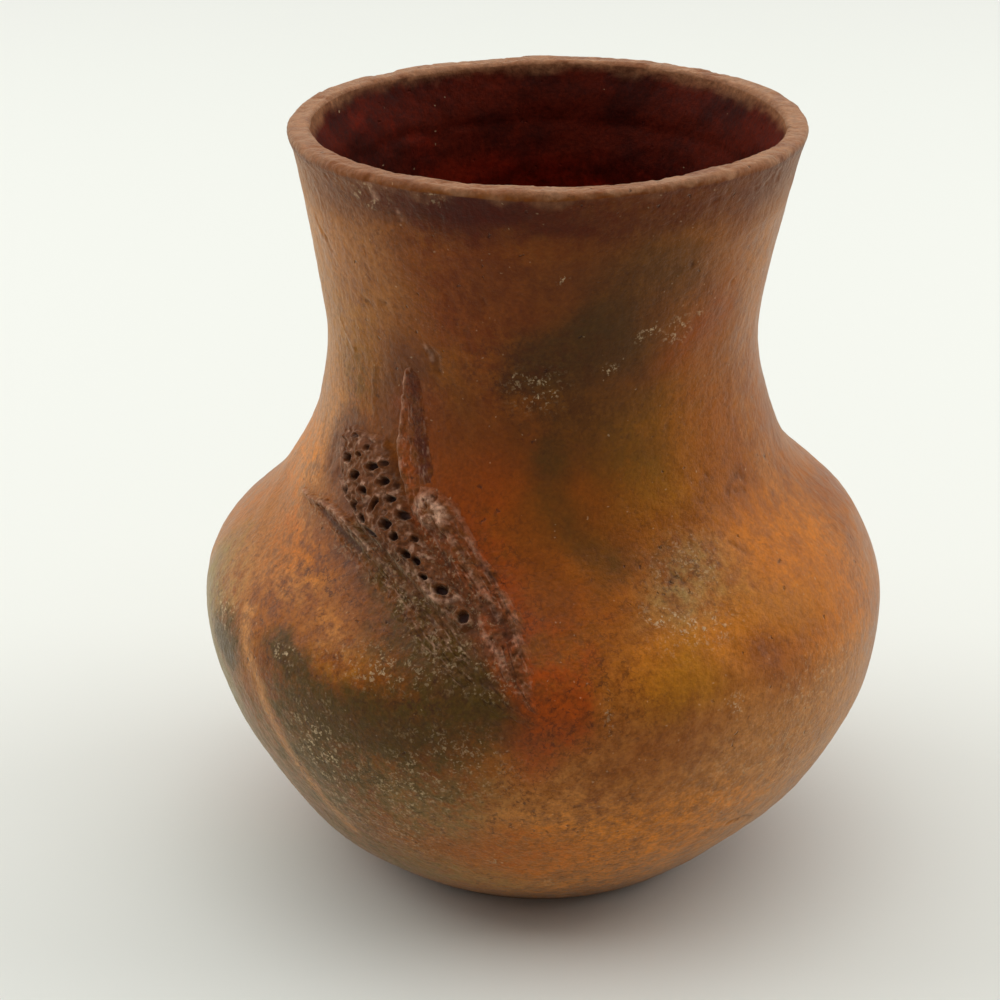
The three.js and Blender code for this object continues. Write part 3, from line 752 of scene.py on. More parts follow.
def write_mesh(name, vertices, faces, loop_normals, values, materials, which=None):
    """faces is a list of arrays of corner numbers, each with 3 or 4 corners a row, and which gives the
    place of each face's material in the list of materials"""
    mesh = bpy.data.meshes.new(name)
    vertices = np.asarray(vertices, float) * MM
    corners = np.concatenate([f.reshape(-1) for f in faces]).astype(np.int32)
    sizes = np.concatenate([np.full(len(f), f.shape[1]) for f in faces])
    starts = np.concatenate([[0], np.cumsum(sizes)[:-1]]).astype(np.int32)
    mesh.vertices.add(len(vertices))
    mesh.vertices.foreach_set("co", vertices.astype(np.float32).reshape(-1))
    mesh.loops.add(len(corners))
    mesh.loops.foreach_set("vertex_index", corners)
    mesh.polygons.add(len(sizes))
    mesh.polygons.foreach_set("loop_start", starts)
    mesh.polygons.foreach_set("use_smooth", np.ones(len(sizes), bool))
    mesh.update(calc_edges=True)
    for key, field in values.items():
        layer = mesh.attributes.new(key, "FLOAT", "POINT")
        layer.data.foreach_set("value", np.asarray(field, np.float32).reshape(-1))
    for material in materials:
        mesh.materials.append(material)
    if which is not None:
        mesh.polygons.foreach_set("material_index", np.asarray(which, np.int32))
    mesh.normals_split_custom_set(loop_normals.astype(np.float32))
    piece = bpy.data.objects.new(name, mesh)
    bpy.context.scene.collection.objects.link(piece)
    return piece


def quads_between(first, second, count):
    """Faces that join two rows of a closed ring of columns"""
    i = np.arange(count)
    j = (i + 1) % count
    return np.column_stack([first + i, first + j, second + j, second + i])


def ring_piece(node, rows, joints, material, poles=()):
    """A piece of the vessel from rows of the sheet. joints gives the flat faces: (row place, sign)"""
    count = len(ANGLES)
    rows = np.asarray(rows)
    vertices = sheet[rows].reshape(-1, 3)
    normals = sheet_normals[rows].reshape(-1, 3)
    faces, flats, inner = [], [], []
    closed = not poles
    for k in range(len(rows) if closed else len(rows) - 1):
        after = (k + 1) % len(rows)
        quads = quads_between(k * count, after * count, count)
        faces.append(quads)
        flats.append(np.full(len(quads), joints.get(k, 0)))
        inner.append(np.full(len(quads), min(rows[k], rows[after]) >= INNER_AT - 1))
    quads = np.concatenate(faces)
    flat = np.repeat(np.concatenate(flats), 4)
    loop_normals = normals[quads.reshape(-1)]
    loop_normals[flat != 0] = np.column_stack([0 * flat, 0 * flat, flat])[flat != 0]
    blocks = [quads]
    values = {key: field[rows].reshape(-1) for key, field in masks.items()}
    for row_place, centre, up in poles:
        number = len(vertices)
        vertices = np.vstack([vertices, [centre]])
        i = np.arange(count)
        j = (i + 1) % count
        base = row_place * count
        fan = np.column_stack([base + i, np.full(count, number), base + j])
        if up > 0:
            fan = fan[:, ::-1]
            fan = np.column_stack([base + i, base + j, np.full(count, number)])
        blocks.append(fan)
        inner.append(np.full(len(fan), up > 0))
        loop_normals = np.vstack([loop_normals, np.tile([[0, 0, up]], (3 * count, 1))])
        values = {key: np.append(field, field[base]) for key, field in values.items()}
    piece = write_mesh(f"{node}_fired", vertices, blocks, loop_normals, values, [material, HOLLOWED],
                       np.concatenate(inner))
    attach(piece, "root")
    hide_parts(node)


# The ear of corn, on the same routes as in the CAD: (degrees round the wall, millimetres above the
# belly line, half width)

COB_ROUTE = [(-143, 51, 3.4), (-140, 47.5, 6.6), (-134, 40.5, 7.7), (-126, 34, 6.6), (-118, 28, 4.8),
             (-110.5, 22.8, 3.2), (-106, 19.6, 1.6)]
LEFT_LEAF_ROUTE = [(-159, 31, 0.9), (-149, 31.5, 2.6), (-138, 29.5, 3.8), (-126, 25, 4), (-115, 18.5, 3.6),
                   (-103, 10.5, 1.4)]
RIGHT_LEAF_ROUTE = [(-119, 42.5, 2.6), (-113.5, 37, 5.2), (-107, 29, 5.4), (-100.5, 20, 4.2), (-95.5, 12, 2.8),
                    (-92, 6.5, 1.2)]
TIP_LEAF_ROUTE = [(-125.3, 69.4, 1.5), (-125.2, 66, 2.7), (-125, 59, 3.5), (-124.4, 53, 4.3), (-123.2, 48, 4.7),
                  (-121.6, 44, 3.8), (-120.6, 41, 2)]
STALK_ROUTE = [(-106.5, 17.5, 2.2), (-101, 12.5, 4.2), (-96, 7.5, 3.4), (-91.5, 3, 1)]

# The true edge of each piece: (degrees, height)
COB_EDGE = [(-150.5, 114.5), (-148.5, 116.8), (-144, 117), (-138, 116.8), (-133.5, 117), (-130, 115.2),
            (-127.5, 111), (-124.8, 107.5), (-122.5, 104.3), (-119.5, 101), (-116, 98), (-112.5, 95),
            (-108.5, 91), (-105.3, 88), (-104.5, 85.8), (-106.5, 85), (-109.5, 86.5), (-113, 88.3),
            (-117, 90.3), (-121, 92.6), (-126, 95.2), (-130.5, 96.7), (-134.5, 98.2), (-138.5, 100.2),
            (-142, 101.8), (-145.5, 104.3), (-147.5, 108), (-150, 112)]
LEFT_LEAF_EDGE = [(-161, 97.8), (-156, 98.4), (-152, 98.9), (-149, 99.6), (-145, 99.8), (-141, 99.4),
                  (-138.5, 99.9), (-134.5, 98), (-130.5, 96.5), (-126, 95), (-121, 92.4), (-117, 90.1),
                  (-113, 88.1), (-109.5, 86.3), (-106.5, 84.8), (-104, 82.6), (-102, 79.5), (-101, 77),
                  (-103, 75.4), (-107, 77.3), (-112, 80.3), (-118, 84), (-125, 88), (-135, 91.7),
                  (-145, 94.8), (-153, 95.7), (-160, 96)]
RIGHT_LEAF_EDGE = [(-122.6, 104.6), (-120.5, 109.6), (-117, 110), (-113, 109.2), (-109.5, 107), (-105.5, 102.5),
                   (-101, 96.5), (-96.5, 90), (-93, 83), (-91, 76), (-90.3, 71.5), (-92.6, 71.8),
                   (-96, 76.3), (-99, 79.8), (-102, 83.1), (-104.2, 85.8), (-105, 88.2), (-108.2, 91.2),
                   (-112.2, 95.2), (-115.7, 98.2), (-119.2, 101.2)]
TIP_LEAF_EDGE = [(-127.6, 134.2), (-125.6, 135.4), (-123, 134.4), (-121.6, 130.5), (-120.3, 124.5),
                 (-118.8, 118), (-117.3, 113), (-117, 110.2), (-120.3, 109.4), (-122.6, 104.8),
                 (-124.7, 107.7), (-127.4, 111.2), (-129.8, 115.4), (-129.8, 120), (-129.2, 127),
                 (-128.8, 131.5)]
STALK_EDGE = [(-106.3, 84.8), (-104, 85.6), (-102, 83.2), (-99, 79.9), (-96, 76.4), (-93, 72), (-90.8, 69.6),
              (-91.8, 68.2), (-96, 69.8), (-101, 72.8), (-103.2, 75.3), (-101, 77), (-102, 79.5), (-104, 82.6)]
COB_LEFT_RIM = [(-150.3, 113.5), (-147.8, 108.4), (-145.6, 104.8), (-142, 102.2), (-138.4, 100.6), (-134.4, 98.7)]
TIP_LEFT_RIM = [(-126.2, 134.8), (-128.3, 133), (-128.9, 128), (-128.8, 121), (-129.4, 116.8), (-127.7, 112.6),
                (-125, 108.5), (-123.3, 105.2)]
TROUGH = [(-125.2, 133), (-124.3, 127), (-122.6, 121), (-121.2, 115.6), (-118.6, 111)]
LEFT_CREST = [(-160, 97.2), (-152, 97.6), (-148.5, 98.5), (-144, 98.5), (-140, 97.6), (-134, 96), (-127, 93.3),
              (-120, 90.2), (-115, 87), (-110, 84), (-105, 80.6)]
RIGHT_CRESTS = [
    [(-120.3, 109.6), (-117, 109.1), (-113, 108.2), (-110, 106), (-106, 101.5)],
    [(-113.5, 103.5), (-109, 99), (-104, 92.5), (-100, 87.6)],
    [(-107, 102), (-102.5, 95.6), (-98, 88.6), (-95, 82.4)],
    [(-104.6, 87.6), (-101, 83.6), (-98.2, 81.5), (-95.4, 77.2)],
]
GOUGES = [
    ([(-103.6, 96.6), (-101.6, 94.6), (-99.8, 92.4)], 0.4),
    ([(-103, 89.6), (-100.4, 87.7), (-97.4, 84.3)], 0.6),
    ([(-112.6, 97.4), (-110.4, 94.8)], 0.5),
    ([(-115, 101.2), (-112.8, 100.4)], 0.5),
]

# The stick's marks: (degrees, height), width, length, tilt, depth
PUNCHES = [
    ((-149, 114), 1.5, 1.9, 20, 0.8), ((-147, 112.3), 1.6, 2.2, 10, 1.0), ((-143.5, 110), 2.6, 2.0, 10, 1.6),
    ((-134.5, 110.6), 2.9, 1.7, 25, 1.4), ((-139.6, 107.3), 3.0, 2.1, 25, 1.7), ((-130, 108.5), 2.7, 2.2, 20, 1.6),
    ((-135.4, 105), 2.7, 2.0, 5, 1.8), ((-127, 105.4), 2.4, 1.9, 10, 1.6), ((-145.3, 105.6), 1.2, 2.6, -25, 1.0),
    ((-141.9, 103.1), 2.1, 2.6, -20, 1.5), ((-131.2, 103), 1.6, 3.6, -10, 1.5), ((-122.8, 102.9), 2.9, 2.0, 10, 1.6),
    ((-137.4, 101.4), 2.0, 2.6, -10, 1.6), ((-126.7, 100.3), 2.8, 2.3, 15, 1.9), ((-134, 99.5), 2.4, 1.5, -25, 1.3),
    ((-123.9, 98.3), 1.9, 1.9, 0, 1.6), ((-131, 97.7), 4.2, 1.1, -10, 1.1), ((-119, 99), 1.7, 1.3, 0, 0.6),
    ((-120.6, 95.8), 2.6, 1.9, -5, 1.8), ((-118, 95), 1.9, 1.7, -25, 1.5), ((-113, 97), 1.8, 1.5, 0, 0.7),
    ((-116, 92.5), 2.0, 1.2, -10, 1.2), ((-111.9, 90.8), 3.1, 2.1, 5, 2.1), ((-106.8, 87.1), 2.3, 2.3, 0, 2.1),
    ((-143, 115.3), 2.2, 1.0, 10, 0.5), ((-137.5, 114), 1.7, 1.2, 30, 0.6), ((-131, 112.2), 1.7, 1.2, 20, 0.5),
    ((-139.5, 112), 1.4, 0.9, 0, 0.4), ((-126.5, 108.2), 1.2, 1.2, 0, 0.5),
]


def spline(route, t):
    """A centripetal Catmull-Rom curve through the places of a route, and its direction"""
    points = np.array([(math.radians(a), BELLY_HEIGHT + up, half) for a, up, half in route])
    points = np.vstack([2 * points[0] - points[1], points, 2 * points[-1] - points[-2]])
    pieces = len(route) - 1
    along = np.clip(t, 0, 1) * pieces
    cell = np.minimum(along.astype(int), pieces - 1)
    w = (along - cell)[:, None]
    p0, p1, p2, p3 = (points[cell + k] for k in range(4))
    d0, d1, d2 = (np.sqrt(np.linalg.norm(b - a, axis=1))[:, None] for a, b in ((p0, p1), (p1, p2), (p2, p3)))
    m1 = d1 * ((p1 - p0) / d0 - (p2 - p0) / (d0 + d1) + (p2 - p1) / d1)
    m2 = d1 * ((p2 - p1) / d1 - (p3 - p1) / (d1 + d2) + (p3 - p2) / d2)
    c2 = 3 * (p2 - p1) - 2 * m1 - m2
    c3 = 2 * (p1 - p2) + m1 + m2
    return p1 + m1 * w + c2 * w * w + c3 * w ** 3, m1 + 2 * c2 * w + 3 * c3 * w * w


class Pad:
    """A pad of clay on the wall along a route, as a grid of places a little wider than the pad"""

    def __init__(self, route, step, margin):
        fine = np.linspace(0, 1, 300)
        value, direction = spline(route, fine)
        radius = wall_radius(value[:, 1])
        climb = np.hypot(1, wall_slope(value[:, 1]))
        speed = np.hypot(direction[:, 0] * radius, direction[:, 1] * climb)
        length = np.concatenate([[0], np.cumsum((speed[1:] + speed[:-1]) / 2 * np.diff(fine))])
        length *= len(route) - 1
        self.total = length[-1]
        distance = np.arange(-margin, self.total + margin, step)
        value, direction = spline(route, np.interp(distance, length, fine))
        further = distance - np.clip(distance, 0, self.total)
        radius = wall_radius(value[:, 1])
        climb = np.hypot(1, wall_slope(value[:, 1]))
        heading = np.stack([direction[:, 0] * radius, direction[:, 1] * climb])
        heading /= np.hypot(*heading)
        widest = max(half for _, _, half in route) + margin
        count = int(2 * widest / step)
        side = np.linspace(-1, 1, count)[None, :]
        self.half = value[:, 2:3] + 0 * side
        self.across = side * (self.half + margin)
        self.share = self.across / self.half
        self.along = distance[:, None] + 0 * side
        self.angle = value[:, 0:1] + (further * heading[0])[:, None] / radius[:, None] \
            - self.across * heading[1][:, None] / radius[:, None]
        self.z = value[:, 1:2] + (further * heading[1])[:, None] / climb[:, None] \
            + self.across * heading[0][:, None] / climb[:, None]
        self.flat = place(self.angle, wall_radius(self.z), self.z)
        self.normal = wall_normal(self.angle, self.z)

    def cover(self, edge, soft, crisp=0.8, seed=0):
        """1 well inside the edge and 0 outside, rising over some millimetres"""
        wobble = 0.45 * soft * fractal(self.flat, 3.2, 500 + seed, 3)
        return smoothstep(depth_inside(self.angle, self.z, edge) + wobble, -crisp, soft)

    def line(self, spots, half_width, edge=0.95):
        return streak(self.angle, self.z, spots, half_width, edge)

    def grooves(self, seed, length=9.0, width=0.8, thin=0.22):
        """Long fine creases that run along the pad"""
        spot = np.stack([self.along / length, self.across / width, 0 * self.along + 3.7], -1)
        return 1 - smoothstep(np.abs(noise(spot, 1.0, seed) + 0.35 * noise(spot * 2.1, 1.0, seed + 1)), 0, thin)

    def clear(self, height):
        """The height, kept well above the wall"""
        return np.maximum(height, 0.2 + 0.1 * fractal(self.flat, 1.2, 791, 2))

    def crumbs(self, seed, strength=0.16):
        """Torn, granular clay"""
        return strength * (fractal(self.flat, 1.9, seed, 2) + 0.7 * fractal(self.flat, 0.8, seed + 5, 1))


def cob_relief(pad):
    inside = np.maximum(0, depth_inside(pad.angle, pad.z, COB_EDGE))
    height = 1.2 + 1.0 * (1 - np.exp(-inside / 2.6)) + pad.crumbs(601, 0.34)
    ridge = pad.line(COB_LEFT_RIM, 0.75)
    height = height + 0.4 * ridge - 0.35 * bell(inside - 1.5, 0.7)
    # The dark in the holes and dips is painted shade; the pale rim, curl and crests are partly wear and partly painted
    # highlight
    dark = np.zeros_like(height)
    ragged = 0.42 * fractal(pad.flat, 1.2, 611, 2)
    for spot, width, length, tilt, depth in PUNCHES:
        across, up = wall_offsets(pad.angle, pad.z, spot)
        t = math.radians(tilt)
        u, v = across * math.cos(t) + up * math.sin(t), up * math.cos(t) - across * math.sin(t)
        d = np.hypot(u / (width / 2), v / (length / 2)) + ragged
        hole = 1 - smoothstep(d, 0.55, 1.3)
        height = height - depth * hole + 0.3 * bell(d - 1.5, 0.34)
        dark = np.maximum(dark, hole * min(1, 0.45 + 0.5 * depth))
    shallow = smoothstep(fractal(pad.flat, 2.1, 621, 2), 0.18, 0.5)
    height = height - 0.3 * shallow
    curl = pad.line([(-115.5, 90.5), (-113, 89.1), (-110.5, 88.9), (-108.4, 90.2)], 0.5)
    crests = smoothstep(fractal(pad.flat, 1.1, 625, 2), 0.08, 0.4) * (1 - dark)
    rub_and_highlight = np.maximum(np.maximum(0.8 * ridge, 0.7 * curl), 0.5 * crests)
    return pad.cover(COB_EDGE, 0.9, seed=1), pad.clear(height + 0.5 * curl), np.maximum(dark, 0.3 * shallow), rub_and_highlight


def left_leaf_relief(pad):
    creases = pad.grooves(631)
    left = smoothstep(-pad.angle, math.radians(112), math.radians(140))
    crest = pad.line(LEFT_CREST, 1.1)
    height = 0.5 + (0.2 + 0.9 * left) * crest - 0.35 * creases + pad.crumbs(641, 0.45)
    # The dark in the creases and the groove under the crest is painted shade; the pale crest and fine lines are partly
    # wear and partly painted highlight
    under = pad.line([(-148, 96.9), (-144, 96.3), (-139, 95.4), (-133, 93.8)], 0.8)
    height = height - 0.6 * under
    rub_and_highlight = 0.8 * left * pad.line(LEFT_CREST, 0.6) * np.clip(0.8 + 1.5 * fractal(pad.flat, 2, 651, 2), 0, 1)
    rub_and_highlight = np.maximum(rub_and_highlight, 0.4 * pad.grooves(635, 6, 0.8, 0.14))
    return pad.cover(LEFT_LEAF_EDGE, 2.2, 1.4, 2), pad.clear(height), np.maximum(0.5 * creases, 0.7 * under), rub_and_highlight


def right_leaf_relief(pad):
    creases = pad.grooves(661, 8.0, 1.1)
    crests = np.zeros_like(creases)
    for spots in RIGHT_CRESTS:
        crests = np.maximum(crests, pad.line(spots, 0.6))
    knob = blot(pad.angle, pad.z, (-116.4, 104.8), 4.2, 3.4, -20, 0.7)
    gouges = np.zeros_like(creases)
    for spots, half_width in GOUGES:
        gouges = np.maximum(gouges, pad.line(spots, 1.7 * half_width, 1.0))
    gouges = gouges * np.clip(0.8 + 1.4 * fractal(pad.flat, 2.2, 741, 2), 0, 1)
    height = 0.85 + 0.4 * crests - 0.35 * creases - 0.7 * gouges + pad.crumbs(671, 0.6)
    torn = np.clip(0.6 + 1.6 * fractal(pad.flat, 1.5, 681, 3), 0, 1)
    height = height + 0.8 * knob * torn
    # The pale crests, knob and fine lines are partly wear and partly painted highlight; the dark creases and gouges are
    # painted shade
    rub_and_highlight = np.maximum(np.maximum(0.5 * crests, 1.4 * knob) * torn, 0.45 * pad.grooves(665, 6, 0.8, 0.14))
    return pad.cover(RIGHT_LEAF_EDGE, 2.6, 1.2, 3), pad.clear(height), np.maximum(0.4 * creases, 0.6 * gouges), rub_and_highlight


def tip_leaf_relief(pad):
    rim = pad.line(TIP_LEFT_RIM, 0.6)
    trough = pad.line(TROUGH, 2.3)
    creases = pad.grooves(691, 8.0, 1.2)
    height = 0.35 + 0.45 * rim - 0.35 * trough - 0.2 * creases + pad.crumbs(701, 0.45)
    tip = blot(pad.angle, pad.z, (-127, 134.2), 1.4, 0.7, 20, 0.7)
    # The pale rim, tip and fine lines are partly wear and partly painted highlight; the dark trough and creases are
    # painted shade
    rub_and_highlight = np.maximum(np.maximum(0.7 * rim, tip), 0.45 * pad.grooves(695, 5, 0.8, 0.14))
    rub_and_highlight = rub_and_highlight * np.clip(0.7 + 1.5 * fractal(pad.flat, 1.8, 731, 2), 0, 1)
    dark = np.maximum(0.3 * trough, 0.35 * creases)
    return pad.cover(TIP_LEAF_EDGE, 1.8, 1.4, 4), pad.clear(height + 0.3 * tip), dark, rub_and_highlight


def stalk_relief(pad):
    creases = pad.grooves(711, 7.0, 0.9)
    height = 0.6 - 0.35 * creases + pad.crumbs(721, 0.3)
    # The dark creases are painted shade
    return pad.cover(STALK_EDGE, 2.4, 1.6, 5), pad.clear(height), 0.5 * creases, 0 * height


# How far each piece of the ear is smoked, and how red it is
EAR_COLOURS = {
    "corn_cob": (0.9, 0),
    "left_husk_leaf": (0.8, 0.1),
    "right_husk_leaf": (0.75, 0.2),
    "tip_leaf": (0.25, 0.5),
    "stalk_end": (0.9, 0.05),
}


def ear_pieces(material):
    makers = [
        ("corn_cob", COB_ROUTE, 0.22, 1.8, cob_relief),
        ("left_husk_leaf", LEFT_LEAF_ROUTE, 0.26, 3.4, left_leaf_relief),
        ("right_husk_leaf", RIGHT_LEAF_ROUTE, 0.26, 3.4, right_leaf_relief),
        ("tip_leaf", TIP_LEAF_ROUTE, 0.26, 2.4, tip_leaf_relief),
        ("stalk_end", STALK_ROUTE, 0.26, 3.0, stalk_relief),
    ]
    for node, route, step, margin, maker in makers:
        pad = Pad(route, step, margin)
        cover, height, dark, wear_and_lit = maker(pad)
        base = outer_lift(pad.angle, pad.z, pad.flat)
        under = 0.45
        lift = base - under + (under + height) * cover
        top = pad.flat + pad.normal * lift[..., None]
        bottom = pad.flat + pad.normal * (base - 1.0)[..., None]
        rows, count = lift.shape
        number = np.arange(rows * count).reshape(rows, count)
        outward_first = np.cross(top[1, 1] - top[1, 0], top[1, 1] - top[0, 1]) @ pad.normal[1, 1] > 0
        a, b, c, d = number[:-1, :-1], number[:-1, 1:], number[1:, 1:], number[1:, :-1]
        order = (a, b, c, d) if outward_first else (a, d, c, b)
        upper = np.stack(order, -1).reshape(-1, 4)
        lower = upper[:, ::-1] + rows * count
        rim = np.concatenate([number[0, :-1], number[:-1, -1], number[-1, :0:-1], number[:0:-1, 0]])
        after = np.roll(rim, -1)
        walls = np.column_stack([rim, rim + rows * count, after + rows * count, after])
        if not outward_first:
            walls = walls[:, ::-1]
        vertices = np.concatenate([top.reshape(-1, 3), bottom.reshape(-1, 3)])
        normals = surface_normals(top, False)
        if (normals * pad.normal).sum() < 0:
            normals = -normals
        normals = normals.reshape(-1, 3)
        below = -pad.normal.reshape(-1, 3)
        side_normals = np.repeat(normals[rim], 4, axis=0)
        loops = np.concatenate([normals[upper.reshape(-1)], below[(lower - rows * count).reshape(-1)], side_normals])
        found = clay_masks(pad.angle, pad.z, pad.flat)
        smoked, reddened = EAR_COLOURS[node]
        found["ear"] = np.maximum(found["ear"], smoked * cover ** 2)
        found["red"] = found["red"] + (reddened - found["red"]) * cover ** 2
        found["grit"] = np.maximum(found["grit"], cover)
        # Painted shade in the tip leaf's trough, in the band's colour
        if node == "tip_leaf":
            found["band"] = 0.6 * pad.line(TROUGH, 1.7, 0.95)
        # Painted shade in the ear's holes, creases, gouges and trough
        found["pit_shade"] = np.clip(dark, 0, 1) * cover
        # Pale wear and painted highlight on the ear's rims and crests
        found["wear_and_highlight"] = np.clip(wear_and_lit, 0, 1) * cover
        values = {name: np.tile(found.get(name, np.zeros_like(lift)).reshape(-1), 2) for name in MASKS}
        piece = write_mesh(f"{node}_fired", vertices, [upper, lower, walls], loops, values, [material])
        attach(piece, "root")
        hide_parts(node)


# Materials

def linear(code):
    """A colour written as the screen shows it, as linear values"""
    parts = [int(code[i:i + 2], 16) / 255 for i in (0, 2, 4)]
    return tuple(c / 12.92 if c <= 0.04045 else ((c + 0.055) / 1.055) ** 2.4 for c in parts) + (1,)


class Nodes:
    """Short calls for adding shader nodes"""

    def __init__(self, name):
        self.material = bpy.data.materials.new(name)
        self.material.use_nodes = True
        self.tree = self.material.node_tree
        self.tree.nodes.clear()

    def add(self, kind, inputs=(), **settings):
        node = self.tree.nodes.new(kind)
        for key, value in settings.items():
            setattr(node, key, value)
        for key, value in dict(inputs).items():
            if isinstance(value, bpy.types.NodeSocket):
                self.tree.links.new(value, node.inputs[key])
            else:
                node.inputs[key].default_value = value
        return node

    def mask(self, name):
        return self.add("ShaderNodeAttribute", attribute_name=name).outputs["Fac"]

    def math(self, operation, a, b=0.0, c=0.0, clamp=False):
        return self.add("ShaderNodeMath", {0: a, 1: b, 2: c}, operation=operation, use_clamp=clamp).outputs[0]

    def ramp(self, value, low, high, to_low=0.0, to_high=1.0):
        return self.add("ShaderNodeMapRange", {"Value": value, "From Min": low, "From Max": high,
                                               "To Min": to_low, "To Max": to_high},
                        interpolation_type="SMOOTHSTEP").outputs["Result"]

    def noise(self, scale, detail=2.0, rough=0.5, stretch=None, distortion=0.0):
        spot = self.add("ShaderNodeTexCoord").outputs["Object"]
        if stretch:
            spot = self.add("ShaderNodeMapping", {"Vector": spot, "Scale": stretch}).outputs[0]
        return self.add("ShaderNodeTexNoise", {"Vector": spot, "Scale": scale, "Detail": detail,
                                               "Roughness": rough, "Distortion": distortion}).outputs["Fac"]

    def cells(self, scale, warp=0.0, feature="F1"):
        """Irregular cells, whose places are shifted by up to warp metres"""
        spot = self.add("ShaderNodeTexCoord").outputs["Object"]
        if warp:
            drift = self.add("ShaderNodeTexNoise", {"Vector": spot, "Scale": 800, "Detail": 2.0}).outputs["Color"]
            centred = self.add("ShaderNodeVectorMath", {0: drift, 1: (0.5, 0.5, 0.5)}, operation="SUBTRACT").outputs[0]
            moved = self.add("ShaderNodeVectorMath", {0: centred, "Scale": 2 * warp}, operation="SCALE").outputs[0]
            spot = self.add("ShaderNodeVectorMath", {0: spot, 1: moved}, operation="ADD").outputs[0]
        return self.add("ShaderNodeTexVoronoi", {"Vector": spot, "Scale": scale}, feature=feature).outputs

    def surface(self, colour, roughness, normal, specular, sheen=0.0):
        shader = self.add("ShaderNodeBsdfPrincipled", {"Base Color": colour, "Roughness": roughness,
                                                       "Normal": normal, "Specular IOR Level": specular,
                                                       "Sheen Weight": sheen, "Sheen Roughness": 0.4,
                                              "Sheen Tint": (1, 0.93, 0.68, 1)})
        self.add("ShaderNodeOutputMaterial", {"Surface": shader.outputs[0]})

    def mix(self, amount, a, b, blend="MIX"):
        node = self.tree.nodes.new("ShaderNodeMix")
        node.data_type = "RGBA"
        node.blend_type = blend
        for index, value in ((0, amount), (6, a), (7, b)):
            if isinstance(value, bpy.types.NodeSocket):
                self.tree.links.new(value, node.inputs[index])
            else:
                node.inputs[index].default_value = value
        return node.outputs[2]


BASE = linear("9f590f")
COLOURS = {
    "tan": linear("b3763c"),
    "bright": linear("c67212"),
    "ochre": linear("a26710"),
    "ear": linear("65381c"),
    "red": linear("943f06"),
    "grey": linear("8a7243"),
    "olive": linear("4b340b"),
    "band": linear("481100"),
    "lip": linear("946646"),
}
WORN_AND_LIT = linear("c99c80")
PALE = linear("cdb28a")
PIT_SHADE = linear("2a1008")
FLECK = linear("40200e")
HOLLOW = linear("4c1508")
HOLLOW_DEEP = linear("ff4410")


def value_of(n, cells, channel):
    return n.add("ShaderNodeSeparateColor", {"Color": cells["Color"]}).outputs[channel]


def grain_relief(n, fine, bump):
    """Relief too fine to model: lumps, grain, burnishing strokes and small holes"""
    strokes = n.noise(700, 2.0, 0.5, stretch=(1, 1, 0.16))
    lumps = n.noise(330, 5.0, 0.65)
    holes = n.cells(380, warp=0.0011)
    hole = n.math("MULTIPLY", n.ramp(holes["Distance"], 0.2, 0.06), n.ramp(value_of(n, holes, 1), 0.88, 0.92))
    height = n.math("ADD", n.math("MULTIPLY", fine, 0.6), n.math("MULTIPLY", strokes, 0.35))
    height = n.math("ADD", height, n.math("MULTIPLY", lumps, 1.6))
    height = n.math("SUBTRACT", height, n.math("MULTIPLY", hole, 1.3))
    normal = n.add("ShaderNodeBump", {"Strength": bump, "Distance": 0.0004, "Height": height}).outputs[0]
    return normal, hole


